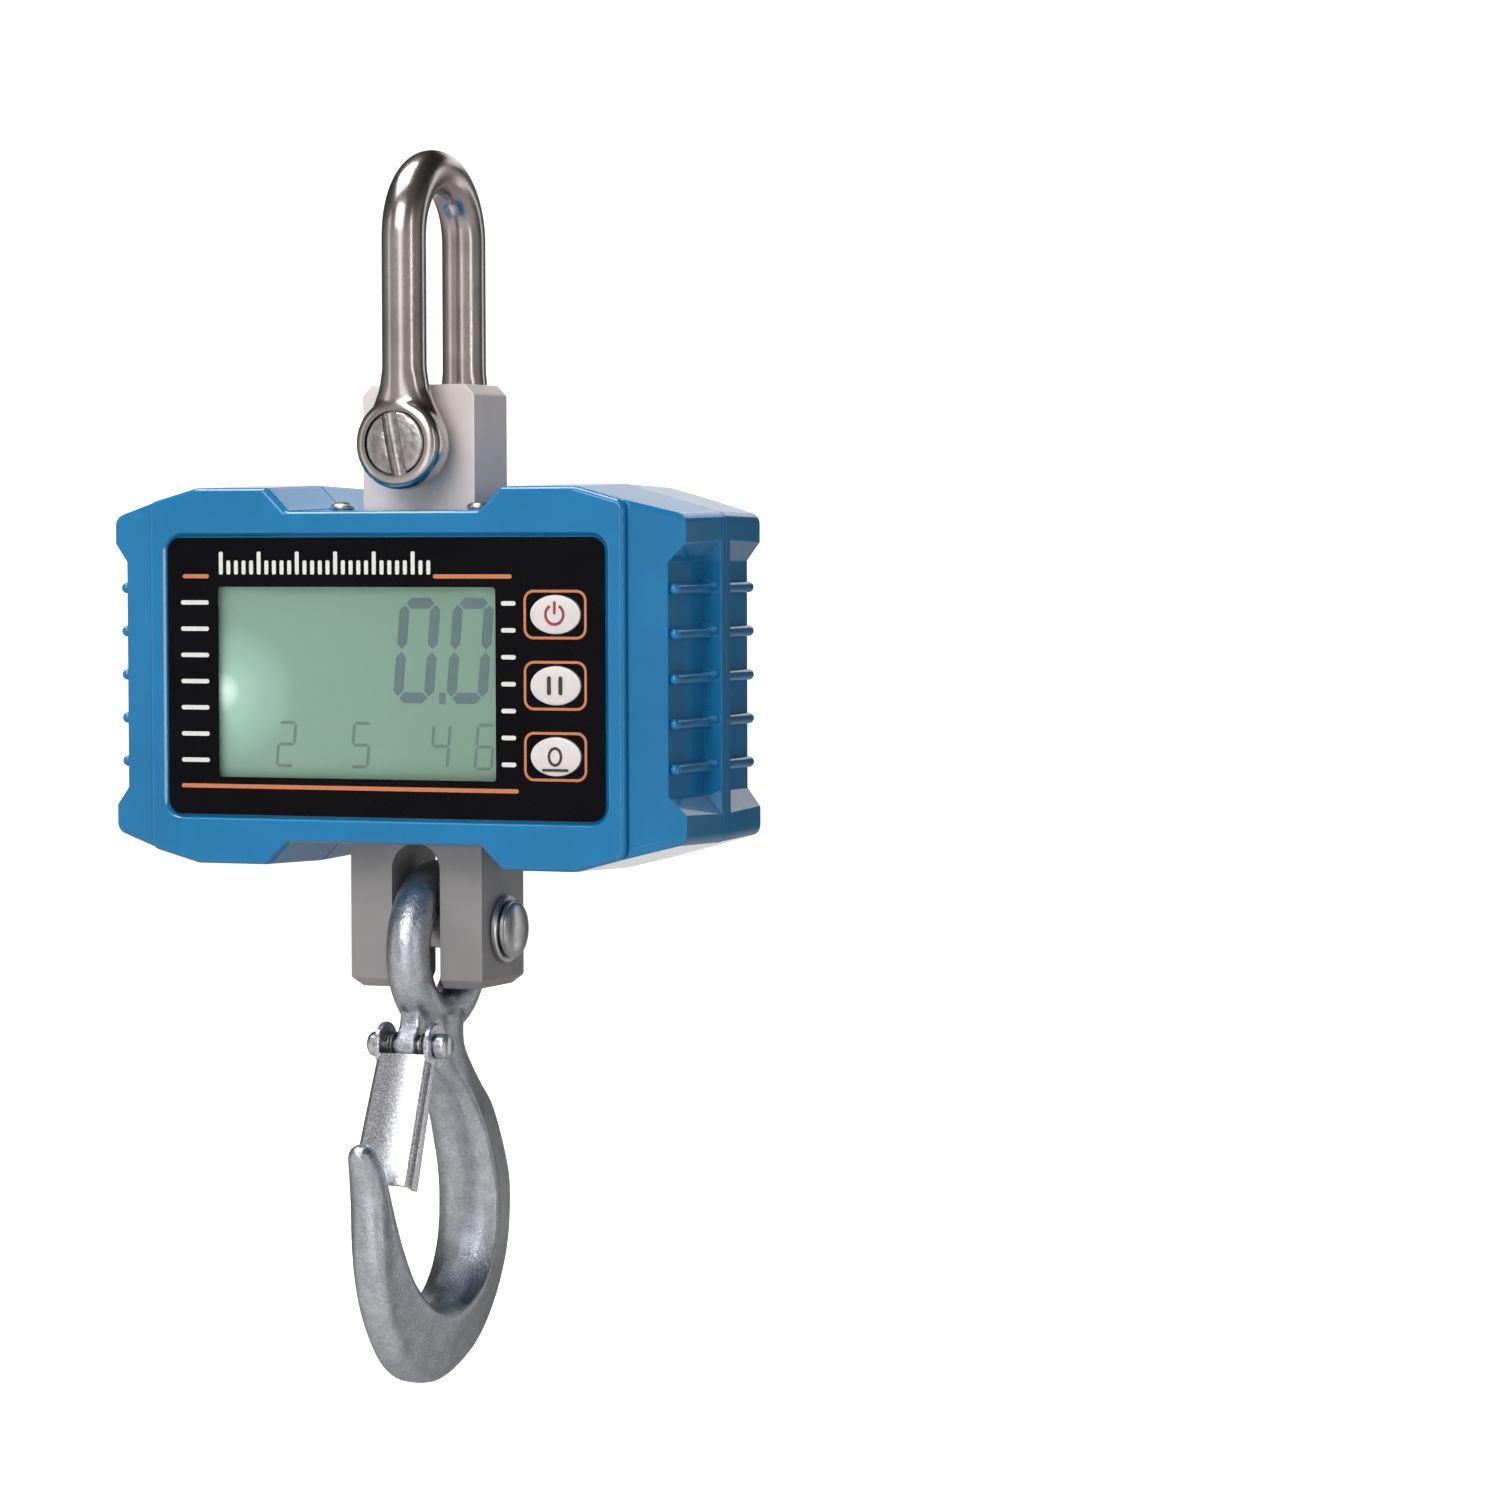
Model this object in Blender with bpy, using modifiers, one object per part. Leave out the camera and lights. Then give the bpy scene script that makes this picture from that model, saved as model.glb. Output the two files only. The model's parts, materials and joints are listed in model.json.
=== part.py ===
"""Hanging crane scale: a weighing head between a shackle above and a latched hook below.

Metres, +Z up, the display faces -Y. The origin is the inside top of the shackle's bow,
where the crane's own hook bears. Inside the case a load cell joins the upper lug to the
lower clevis, so the case hangs on the lug and carries no load.
"""

import math

import bmesh
import bpy
from mathutils import Matrix, Vector

MM = 0.001
GAP = 0.3 * MM
WELD = 0.001 * MM

# Levels below the origin
BOW_RADIUS = 15.6 * MM
ROD_RADIUS = 5.1 * MM
SHACKLE_PIN_Z = -57.3 * MM
CASE_Z = -110.1 * MM
HOOK_PIN_Z = -168.4 * MM
HOOK_PIN_DROP = HOOK_PIN_Z - CASE_Z

# Case: front outline (X, Z) and depth (Y), measured from the case's centre
SEAM_X = 60.0 * MM
SIDE_X = 71.8 * MM
SEAM_Y = 26.1 * MM
SIDE_Y = 21.4 * MM
DRAFT = 0.7 * MM
LOBE_Z = 42.9 * MM
LOBE_OUTER_X = 47.5 * MM
NOTCH_TOP_X = 29.6 * MM
NOTCH_FLOOR_X = 24.3 * MM
NOTCH_Z = 37.6 * MM
SHOULDER_SLOPE = 0.272
WALL = 2.6 * MM
SIDE_WALL = 6.6 * MM
INNER_Y = 23.5 * MM
COVER_FRONT_Y = -28.0 * MM

# Side recess with ribs, on each end of both shells
RECESS_X = 68.1 * MM
RECESS_HALF_HEIGHT = 26.0 * MM
RECESS_MOUTH = (80.0 * MM, 39.2 * MM)
FLANGE_Y = 2.6 * MM
PARTING_GAP = 0.15 * MM
RIB_PITCH = 10.0 * MM
RIB_COUNT = 5
RIB_X = 70.3 * MM
RIB_RADIUS = 1.25 * MM

# Panel on the front cover
PANEL_SIZE = (109.6 * MM, 63.2 * MM)
PANEL_RADIUS = 3.2 * MM
PANEL_THICKNESS = 0.5 * MM
POCKET_Y = -26.8 * MM
PLUG_SIZE = (112.0 * MM, 66.0 * MM)
PLUG_BACK_Y = -23.8 * MM
DISPLAY_CENTRE = (-6.9 * MM, -1.3 * MM)
DISPLAY_SIZE = (70.2 * MM, 43.4 * MM)
KEY_X = 42.85 * MM
KEY_ZS = (14.35 * MM, -1.45 * MM, -17.25 * MM)
KEY_NAMES = ("power", "hold", "tare")
KEY_SIZE = (12.4 * MM, 8.75 * MM)
BOARD_FRONT_Y = -17.6 * MM
BOARD_THICKNESS = 1.6 * MM

# Load path
LUG_HALF = (14.2 * MM, 8.75 * MM)
LUG_TOP_Z = 66.4 * MM
LUG_FOOT_Z = 29.5 * MM
FOOT_HALF = (22.0 * MM, 15.6 * MM)
FOOT_THICKNESS = 5.2 * MM
CELL_HALF = (16.0 * MM, 7.0 * MM, 24.0 * MM)
CLEVIS_HALF = (16.7 * MM, 11.25 * MM)
CLEVIS_TOP_Z = -29.5 * MM
CLEVIS_BOTTOM_Z = -71.6 * MM
SLOT_HALF = 6.1 * MM
SLOT_TOP_Z = -38.3 * MM
STUD_RADIUS = 5.0 * MM
BLOCK_CHAMFER = 2.1 * MM

# Shackle eyes and pin, measured from the shackle pin's axis
FRONT_EYE_RADIUS = 10.5 * MM
REAR_EYE_RADIUS = 9.6 * MM
EYE_INNER_Y = 10.4 * MM
EYE_OUTER_Y = 21.0 * MM
SHACKLE_PIN_RADIUS = 4.8 * MM
SHACKLE_HEAD_RADIUS = 7.25 * MM
SLOT_TILT = math.radians(11)

# Hook, measured from the hook pin's axis
HOOK_PIN_RADIUS = 4.8 * MM
RING_DROP = 4.8 * MM
RING_RADIUS = 15.3 * MM
RING_ROD_RADIUS = 5.1 * MM
LATCH_PIN_YZ = (-14.5 * MM, -26.0 * MM)
LATCH_PIN_RADIUS = 2.0 * MM
LUG_HALF_WIDTH = 2.6 * MM
LATCH_LUG_RADIUS = 3.4 * MM
LATCH_LEAN = math.radians(23.5)
LATCH_LENGTH = 34.0 * MM
LATCH_HALF_WIDTHS = (6.9 * MM, 7.6 * MM)
LATCH_SHEET = 1.3 * MM
LATCH_FLANGES = (3.7 * MM, 4.7 * MM)
LATCH_FACE_OFFSET = 3.0 * MM
EAR_RADIUS = 5.2 * MM

# Fastenings
TOP_SCREW_XY = (17.3 * MM, 13.0 * MM)
CASE_SCREW_XZ = (61.5 * MM, 29.3 * MM)
CASE_SCREW_HEAD_Y = 22.9 * MM

# Battery bay behind the load cell
CELL_RADIUS = 7.2 * MM
CELL_LENGTH = 50.4 * MM
CELL_PITCH = 14.9 * MM
CELL_Y = 16.3 * MM
TRAY_HALF = (27.8 * MM, 24.0 * MM)
TRAY_Y = (7.6 * MM, 23.2 * MM)
DOOR_SIZE = (70.0 * MM, 49.0 * MM)
DOOR_THICKNESS = 1.2 * MM
DOOR_SCREW_X = 31.6 * MM


def clear_scene():
    for obj in list(bpy.data.objects):
        bpy.data.objects.remove(obj, do_unlink=True)


def new_collection(name):
    made = bpy.data.collections.new(name)
    bpy.context.scene.collection.children.link(made)
    return made


def new_material(name, colour, roughness, metallic):
    made = bpy.data.materials.new(name)
    made.use_nodes = True
    shader = made.node_tree.nodes["Principled BSDF"]
    shader.inputs["Base Color"].default_value = (*colour, 1.0)
    shader.inputs["Roughness"].default_value = roughness
    shader.inputs["Metallic"].default_value = metallic
    made.diffuse_color = (*colour, 1.0)
    return made


def new_empty(name, location, parent=None):
    made = bpy.data.objects.new(name, None)
    made.empty_display_size = 0.01
    made.location = location
    made.parent = parent
    PARTS.objects.link(made)
    return made


def add_object(name, bm, collection, parent=None):
    """The object made from a bmesh whose coordinates are those of its parent empty."""
    bmesh.ops.recalc_face_normals(bm, faces=bm.faces)
    mesh = bpy.data.meshes.new(name)
    bm.to_mesh(mesh)
    bm.free()
    made = bpy.data.objects.new(name, mesh)
    made.parent = parent
    collection.objects.link(made)
    return made


def add_part(name, bm, material, parent=None, smooth=None):
    made = add_object(name, bm, PARTS, parent)
    made.data.materials.append(material)
    if smooth is not None:
        made.data.shade_smooth()
        made.data.set_sharp_from_angle(angle=math.radians(smooth))
    return made


def add_cutter(name, bm, parent=None):
    made = add_object(name, bm, CUTTERS, parent)
    made.hide_render = True
    made.display_type = "WIRE"
    return made


def boolean(part, tool_name, bm, operation):
    """Cuts or joins the bmesh, which has the part's own coordinates."""
    tool = add_cutter(f"{part.name}_{tool_name}", bm, part.parent)
    modifier = part.modifiers.new(tool_name, "BOOLEAN")
    modifier.operation = operation
    modifier.solver = "EXACT"
    modifier.object = tool


def cut(part, tool_name, bm):
    boolean(part, tool_name, bm, "DIFFERENCE")


def join(part, tool_name, bm):
    boolean(part, tool_name, bm, "UNION")


def bevel(part, width, segments=2, angle=30):
    modifier = part.modifiers.new("edges", "BEVEL")
    modifier.width = width
    modifier.segments = segments
    modifier.limit_method = "ANGLE"
    modifier.angle_limit = math.radians(angle)


def box(low, high):
    """A box between two corners."""
    low, high = Vector(low), Vector(high)
    bm = bmesh.new()
    bmesh.ops.create_cube(bm, size=1.0)
    bmesh.ops.scale(bm, vec=high - low, verts=bm.verts)
    bmesh.ops.translate(bm, vec=(low + high) / 2, verts=bm.verts)
    return bm


def merged(*shapes):
    """One bmesh that holds several shapes, which stay separate bodies."""
    bm = bmesh.new()
    for shape in shapes:
        mesh = bpy.data.meshes.new("shape")
        shape.to_mesh(mesh)
        shape.free()
        bm.from_mesh(mesh)
        bpy.data.meshes.remove(mesh)
    return bm


AXIS_TURNS = {
    "X": Matrix.Rotation(math.radians(90), 3, "Y"),
    "Y": Matrix.Rotation(math.radians(-90), 3, "X"),
    "Z": Matrix.Identity(3),
}


def rod(axis, radius, start, end, centre=(0, 0, 0), segments=24, end_radius=None):
    """A cylinder or cone along an axis, from start to end on that axis, through centre."""
    bm = bmesh.new()
    bmesh.ops.create_cone(
        bm,
        cap_ends=True,
        segments=segments,
        radius1=radius,
        radius2=radius if end_radius is None else end_radius,
        depth=end - start,
    )
    bmesh.ops.translate(bm, vec=(0, 0, (start + end) / 2), verts=bm.verts)
    bmesh.ops.rotate(bm, matrix=AXIS_TURNS[axis], verts=bm.verts)
    bmesh.ops.translate(bm, vec=centre, verts=bm.verts)
    return bm


def loft(rings):
    """A closed solid through rings of points that all have the same count."""
    bm = bmesh.new()
    made = [[bm.verts.new(point) for point in ring] for ring in rings]
    count = len(rings[0])
    for near, far in zip(made, made[1:]):
        for i in range(count):
            j = (i + 1) % count
            bm.faces.new((near[i], near[j], far[j], far[i]))
    bm.faces.new(list(reversed(made[0])))
    bm.faces.new(made[-1])
    return bm


def evaluated_bmesh(made):
    """The mesh of a temporary object as a bmesh with its loose seams welded; the object goes."""
    CUTTERS.objects.link(made)
    graph = bpy.context.evaluated_depsgraph_get()
    mesh = bpy.data.meshes.new_from_object(made.evaluated_get(graph))
    bpy.data.objects.remove(made, do_unlink=True)
    bm = bmesh.new()
    bm.from_mesh(mesh)
    bpy.data.meshes.remove(mesh)
    bmesh.ops.remove_doubles(bm, verts=bm.verts, dist=WELD)
    return bm


def turned(axis, profile, centre=(0, 0, 0), steps=24):
    """A solid of revolution: profile is (radius, place along the axis), from end to end."""
    points = [(0, profile[0][1]), *profile, (0, profile[-1][1])]
    mesh = bpy.data.meshes.new("profile")
    edges = [(i, i + 1) for i in range(len(points) - 1)]
    mesh.from_pydata([(radius, 0, place) for radius, place in points], edges, [])
    made = bpy.data.objects.new("profile", mesh)
    screw = made.modifiers.new("turn", "SCREW")
    screw.steps = screw.render_steps = steps
    screw.use_merge_vertices = True
    screw.merge_threshold = WELD
    bm = evaluated_bmesh(made)
    bmesh.ops.rotate(bm, matrix=AXIS_TURNS[axis], verts=bm.verts)
    bmesh.ops.translate(bm, vec=centre, verts=bm.verts)
    bmesh.ops.recalc_face_normals(bm, faces=bm.faces)
    return bm


def arc(centre, radius, start, end, steps):
    """Points on an arc in a flat outline, from the start angle to the end angle in degrees."""
    angles = [math.radians(start + (end - start) * i / steps) for i in range(steps + 1)]
    return [(centre[0] + radius * math.cos(a), centre[1] + radius * math.sin(a)) for a in angles]


def rounded_rectangle(size, radius, centre=(0, 0), steps=4):
    half_x = size[0] / 2 - radius
    half_z = size[1] / 2 - radius
    points = []
    for turn, (sx, sz) in enumerate(((1, 1), (-1, 1), (-1, -1), (1, -1))):
        middle = (centre[0] + sx * half_x, centre[1] + sz * half_z)
        points += arc(middle, radius, 90 * turn, 90 * turn + 90, steps)
    return points


def ellipse(size, centre=(0, 0), steps=32):
    turn = [2 * math.pi * i / steps for i in range(steps)]
    half_x, half_z = size[0] / 2, size[1] / 2
    return [(centre[0] + half_x * math.cos(a), centre[1] + half_z * math.sin(a)) for a in turn]


def slab(outline, y_front, y_back, holes=()):
    """A flat plate in the XZ plane, from a filled 2D curve with an extrusion."""
    curve = bpy.data.curves.new("outline", "CURVE")
    curve.dimensions = "2D"
    curve.fill_mode = "BOTH"
    curve.extrude = (y_back - y_front) / 2
    for points in (outline, *holes):
        spline = curve.splines.new("POLY")
        spline.points.add(len(points) - 1)
        for point, (x, z) in zip(spline.points, points):
            point.co = (x, z, 0, 1)
        spline.use_cyclic_u = True
    bm = evaluated_bmesh(bpy.data.objects.new("outline", curve))
    bmesh.ops.rotate(bm, matrix=Matrix.Rotation(math.radians(90), 3, "X"), verts=bm.verts)
    bmesh.ops.translate(bm, vec=(0, (y_front + y_back) / 2, 0), verts=bm.verts)
    return bm


def tube(points, radius, closed=False, sides=2):
    """A round wire along points, as a closed mesh."""
    curve = bpy.data.curves.new("wire", "CURVE")
    curve.dimensions = "3D"
    curve.bevel_depth = radius
    curve.bevel_resolution = sides
    curve.use_fill_caps = not closed
    spline = curve.splines.new("POLY")
    spline.points.add(len(points) - 1)
    for point, place in zip(spline.points, points):
        point.co = (*place, 1)
    spline.use_cyclic_u = closed
    return evaluated_bmesh(bpy.data.objects.new("wire", curve))


# Shackle --------------------------------------------------------------------


def eye_boss(side, radius, near_round, far_round):
    """A thick round eye on the front (-1) or rear (+1) leg, rounded near the lug and far from it."""
    profile = arc((radius - near_round, EYE_INNER_Y + near_round), near_round, -90, 0, 3)
    profile += arc((radius - far_round, EYE_OUTER_Y - far_round), far_round, 0, 90, 3)
    return turned("Y", [(r, side * y) for r, y in profile], steps=32)


def make_shackle(parent, metal):
    bow_z = -(BOW_RADIUS - ROD_RADIUS) - SHACKLE_PIN_Z
    bow = arc((0, bow_z), BOW_RADIUS, 180, 0, 16)
    path = [(0, -BOW_RADIUS, 0), *[(0, y, z) for y, z in bow], (0, BOW_RADIUS, 0)]
    shackle = add_part("shackle", tube(path, ROD_RADIUS, sides=6), metal, parent, smooth=40)
    join(shackle, "front_eye", eye_boss(-1, FRONT_EYE_RADIUS, 5.0 * MM, 2.2 * MM))
    join(shackle, "rear_eye", eye_boss(1, REAR_EYE_RADIUS, 3.0 * MM, 4.4 * MM))
    bore = SHACKLE_PIN_RADIUS + GAP
    cut(shackle, "bore", rod("Y", bore, -30 * MM, 30 * MM))
    seat = SHACKLE_HEAD_RADIUS + GAP
    cut(shackle, "head_seat", rod("Y", seat, -30 * MM, -18.6 * MM))


def make_shackle_pin(parent, metal):
    """A screw pin with a slotted head sunk in the front eye."""
    head_back, head_front = -18.9 * MM, -21.6 * MM
    profile = [
        (SHACKLE_HEAD_RADIUS - 0.6 * MM, head_front),
        (SHACKLE_HEAD_RADIUS, head_front + 0.6 * MM),
        (SHACKLE_HEAD_RADIUS, head_back),
        (SHACKLE_PIN_RADIUS, head_back),
        (SHACKLE_PIN_RADIUS, EYE_OUTER_Y - 1.0 * MM),
        (SHACKLE_PIN_RADIUS - 0.8 * MM, EYE_OUTER_Y - 0.2 * MM),
    ]
    pin = add_part("shackle_pin", turned("Y", profile, steps=32), metal, parent, smooth=40)
    slot = box((-1.8 * MM, -25 * MM, -9 * MM), (1.8 * MM, -20.0 * MM, 9 * MM))
    bmesh.ops.rotate(slot, matrix=Matrix.Rotation(-SLOT_TILT, 3, "Y"), verts=slot.verts)
    cut(pin, "slot", slot)


# Load path ------------------------------------------------------------------


def make_upper_lug(parent, metal):
    """The block that the shackle pin goes through, with the foot that carries the case."""
    half_x, half_y = LUG_HALF
    chamfer = 2.4 * MM
    outline = [
        (-half_x, LUG_FOOT_Z),
        (half_x, LUG_FOOT_Z),
        (half_x, LUG_TOP_Z - chamfer),
        (half_x - chamfer, LUG_TOP_Z),
        (-half_x + chamfer, LUG_TOP_Z),
        (-half_x, LUG_TOP_Z - chamfer),
    ]
    lug = add_part("upper_lug", slab(outline, -half_y, half_y), metal, parent)
    foot_top = LUG_FOOT_Z + FOOT_THICKNESS
    foot = box((-FOOT_HALF[0], -FOOT_HALF[1], LUG_FOOT_Z), (*FOOT_HALF, foot_top))
    join(lug, "foot", foot)
    pin_z = SHACKLE_PIN_Z - CASE_Z
    bore = rod("Y", SHACKLE_PIN_RADIUS + GAP, -20 * MM, 20 * MM, (0, 0, pin_z))
    cut(lug, "pin_bore", bore)
    stud = rod("Z", STUD_RADIUS + GAP, LUG_FOOT_Z - 5 * MM, LUG_FOOT_Z + 10.3 * MM)
    cut(lug, "stud_bore", stud)
    x, y = TOP_SCREW_XY
    holes = [
        rod("Z", 1.8 * MM, LUG_FOOT_Z - 1 * MM, foot_top + 1 * MM, (sx * x, sy * y, 0), 12)
        for sx in (-1, 1)
        for sy in (-1, 1)
    ]
    cut(lug, "screw_holes", merged(*holes))


def make_load_cell(parent, metal):
    """An S-shaped bending beam: two slots from opposite sides and a gauge pocket."""
    half_x, half_y, half_z = CELL_HALF
    cell = add_part("load_cell", box((-half_x, -half_y, -half_z), CELL_HALF), metal, parent)
    reach = 8.5 * MM
    slots = [
        box((-20 * MM, -10 * MM, 11 * MM), (reach, 10 * MM, 13 * MM)),
        box((-reach, -10 * MM, -13 * MM), (20 * MM, 10 * MM, -11 * MM)),
    ]
    cut(cell, "slots", merged(*slots))
    cut(cell, "gauge_pocket", rod("Y", 6.5 * MM, -10 * MM, 10 * MM))
    bores = [
        rod("Z", STUD_RADIUS + GAP, 15.7 * MM, 30 * MM),
        rod("Z", STUD_RADIUS + GAP, -30 * MM, -15.7 * MM),
    ]
    cut(cell, "stud_bores", merged(*bores))


def make_studs_and_nuts(parent, steel):
    """Each stud joins the load cell to a block, with a lock nut between them."""
    for name, side in (("upper", 1), ("lower", -1)):
        ends = sorted((side * 16.0 * MM, side * 36.4 * MM))
        stud = rod("Z", STUD_RADIUS, *ends)
        add_part(f"{name}_stud", stud, steel, parent, smooth=40)
        low, high = sorted((side * 24.3 * MM, side * 29.2 * MM))
        nut = add_part(f"{name}_lock_nut", rod("Z", 8.8 * MM, low, high, segments=6), steel, parent)
        cut(nut, "bore", rod("Z", STUD_RADIUS + GAP, low - 5 * MM, high + 5 * MM))


def make_lower_clevis(parent, metal):
    """The forked block that holds the hook pin, chamfered round its lower end."""
    half_x, half_y = CLEVIS_HALF
    small_x, small_y = half_x - BLOCK_CHAMFER, half_y - BLOCK_CHAMFER
    rings = [
        rectangle_ring(small_x, small_y, CLEVIS_BOTTOM_Z),
        rectangle_ring(half_x, half_y, CLEVIS_BOTTOM_Z + BLOCK_CHAMFER),
        rectangle_ring(half_x, half_y, CLEVIS_TOP_Z),
    ]
    clevis = add_part("lower_clevis", loft(rings), metal, parent)
    arch = arc((0, SLOT_TOP_Z - SLOT_HALF), SLOT_HALF, 0, 180, 12)
    slot = [(SLOT_HALF, -90 * MM), *arch, (-SLOT_HALF, -90 * MM)]
    cut(clevis, "hook_slot", slab(slot, -20 * MM, 20 * MM))
    bore = rod("X", HOOK_PIN_RADIUS + GAP, -30 * MM, 30 * MM, (0, 0, HOOK_PIN_DROP))
    cut(clevis, "pin_bore", bore)
    cut(clevis, "stud_bore", rod("Z", STUD_RADIUS + GAP, -36.7 * MM, -20 * MM))


def rectangle_ring(half_x, half_y, z):
    signs = ((-1, -1), (1, -1), (1, 1), (-1, 1))
    return [(sx * half_x, sy * half_y, z) for sx, sy in signs]


def make_hook_pin(parent, metal):
    """A headed pin with a washer under its head and a retaining ring at its far end."""
    centre = (0, 0, HOOK_PIN_DROP)
    face = CLEVIS_HALF[0]
    end = -face - 3.2 * MM
    profile = [
        (HOOK_PIN_RADIUS - 0.8 * MM, end),
        (HOOK_PIN_RADIUS, end + 0.8 * MM),
        (HOOK_PIN_RADIUS, face + 2.0 * MM),
        (6.7 * MM, face + 2.0 * MM),
        (6.7 * MM, face + 3.8 * MM),
        (5.7 * MM, face + 4.6 * MM),
    ]
    add_part("hook_pin", turned("X", profile, centre, 32), metal, parent, smooth=40)
    inner = HOOK_PIN_RADIUS + GAP
    rings = (
        ("hook_pin_washer", 7.7 * MM, face + GAP, face + 1.7 * MM),
        ("hook_pin_ring", 6.6 * MM, -face - 1.4 * MM, -face - GAP),
    )
    for name, radius, start, finish in rings:
        disc = rod("X", radius, start, finish, centre, 32)
        ring = add_part(name, disc, metal, parent, smooth=40)
        cut(ring, "bore", rod("X", inner, start - MM, finish + MM, centre))


# Hook and latch -------------------------------------------------------------

# Stations down the forging, in millimetres from the hook pin's axis:
# inner edge (Y, Z), outer edge (Y, Z), half width inside, half width outside, roundness
HOOK_STATIONS = (
    ((-10.2, -19.5), (6.2, -19.5), 5.9, 5.9, 0.7),
    ((-10.0, -27.0), (6.4, -26.7), 5.9, 5.7, 0.7),
    ((-4.6, -32.8), (10.2, -31.6), 6.2, 4.8, 0.6),
    ((3.2, -39.0), (14.9, -36.8), 6.7, 4.2, 0.3),
    ((10.0, -47.7), (22.0, -43.4), 7.2, 3.8, 0.0),
    ((14.1, -57.7), (29.6, -56.0), 7.7, 3.5, 0.0),
    ((15.3, -65.0), (32.0, -65.0), 7.9, 3.4, 0.0),
    ((14.4, -73.7), (30.0, -78.4), 7.9, 3.4, 0.0),
    ((10.2, -81.7), (21.6, -91.0), 7.8, 3.6, 0.0),
    ((3.0, -87.0), (8.8, -99.9), 7.6, 4.0, 0.0),
    ((-6.0, -88.6), (-9.5, -104.3), 7.4, 4.2, 0.1),
    ((-15.0, -85.7), (-23.0, -99.4), 7.0, 4.0, 0.2),
    ((-21.5, -79.7), (-32.4, -88.4), 6.7, 4.0, 0.4),
    ((-25.3, -72.7), (-36.6, -78.5), 6.2, 4.3, 0.6),
    ((-28.2, -65.7), (-38.3, -69.2), 5.7, 4.5, 0.8),
    ((-30.6, -58.7), (-38.9, -60.6), 5.0, 4.5, 1.0),
    ((-33.0, -52.4), (-40.4, -53.4), 4.3, 4.0, 1.0),
    ((-35.6, -47.6), (-42.4, -48.6), 3.1, 3.1, 1.0),
    ((-38.0, -45.9), (-41.0, -46.3), 1.4, 1.4, 1.0),
)
SECTIONS_PER_STATION = 2
# Half of the bar's section, from its crown to its back: depth and half width as shares
FORGED_SECTION = (
    (-0.35, 0.0),
    (-0.27, 0.5),
    (-0.08, 0.86),
    (0.06, 1.0),
    (0.36, 1.0),
    (0.66, 1.0),
    (0.9, 1.0),
    (0.98, 0.75),
    (1.0, 0.0),
)


def spline_value(values, place):
    """A smooth curve through the values, at a place counted in values (Catmull-Rom)."""
    last = len(values) - 1
    index = min(int(place), last - 1)
    t = place - index
    before, after = max(index - 1, 0), min(index + 2, last)
    a, b, c, d = values[before], values[index], values[index + 1], values[after]
    line = (c - a) * t
    square = (2 * a - 5 * b + 4 * c - d) * t * t
    cube = (3 * b - a - 3 * c + d) * t**3
    return b + (line + square + cube) / 2


def hook_values(place):
    """The station's seven values at a place between stations."""
    columns = zip(*[(*inner, *outer, *rest) for inner, outer, *rest in HOOK_STATIONS])
    return [spline_value(column, place) for column in columns]


def hook_section(place):
    """The bar's section: wide and crowned inside, narrow outside, or an ellipse when round."""
    inner_y, inner_z, outer_y, outer_z, inner_half, outer_half, roundness = hook_values(place)
    inner = Vector((0, inner_y, inner_z)) * MM
    across = Vector((0, outer_y, outer_z)) * MM - inner
    right = []
    for index, (depth, share) in enumerate(FORGED_SECTION):
        taper = inner_half + (outer_half - inner_half) * max(depth, 0)
        if depth < 0:
            depth *= inner_half * MM / across.length
        angle = math.pi * index / (len(FORGED_SECTION) - 1)
        round_depth = (1 - math.cos(angle)) / 2
        round_half = (inner_half + outer_half) / 2 * math.sin(angle)
        depth += (round_depth - depth) * roundness
        half = taper * share + (round_half - taper * share) * roundness
        right.append(inner + across * depth + Vector((half * MM, 0, 0)))
    left = [Vector((-point.x, point.y, point.z)) for point in reversed(right[1:-1])]
    return right + left


def make_hook(parent, metal):
    """A forged hook: a round eye on the pin, a shank, a bowl and a tip."""
    steps = SECTIONS_PER_STATION * (len(HOOK_STATIONS) - 1)
    sections = [hook_section(i / SECTIONS_PER_STATION) for i in range(steps + 1)]
    hook = add_part("hook", loft(sections), metal, parent, smooth=50)
    turn = [2 * math.pi * i / 32 for i in range(32)]
    ring = [(0, RING_RADIUS * math.sin(a), RING_RADIUS * math.cos(a) - RING_DROP) for a in turn]
    join(hook, "eye", tube(ring, RING_ROD_RADIUS, closed=True, sides=4))
    y, z = LATCH_PIN_YZ
    lug = arc((0, 0), LATCH_LUG_RADIUS, 150, 270, 6)
    rib_top = 10.0 * MM
    root = [(6.5 * MM, -LATCH_LUG_RADIUS), (6.5 * MM, rib_top)]
    rib = [(-0.2 * MM, rib_top), (-0.6 * MM, 4.5 * MM)]
    lug = slab(lug + root + rib, -LUG_HALF_WIDTH, LUG_HALF_WIDTH)
    bmesh.ops.rotate(lug, matrix=Matrix.Rotation(math.radians(90), 3, "Z"), verts=lug.verts)
    bmesh.ops.translate(lug, vec=(0, y, z), verts=lug.verts)
    join(hook, "latch_lug", lug)
    bore = rod("X", LATCH_PIN_RADIUS + GAP, -20 * MM, 20 * MM, (0, y, z), 16)
    cut(hook, "latch_bore", bore)


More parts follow.
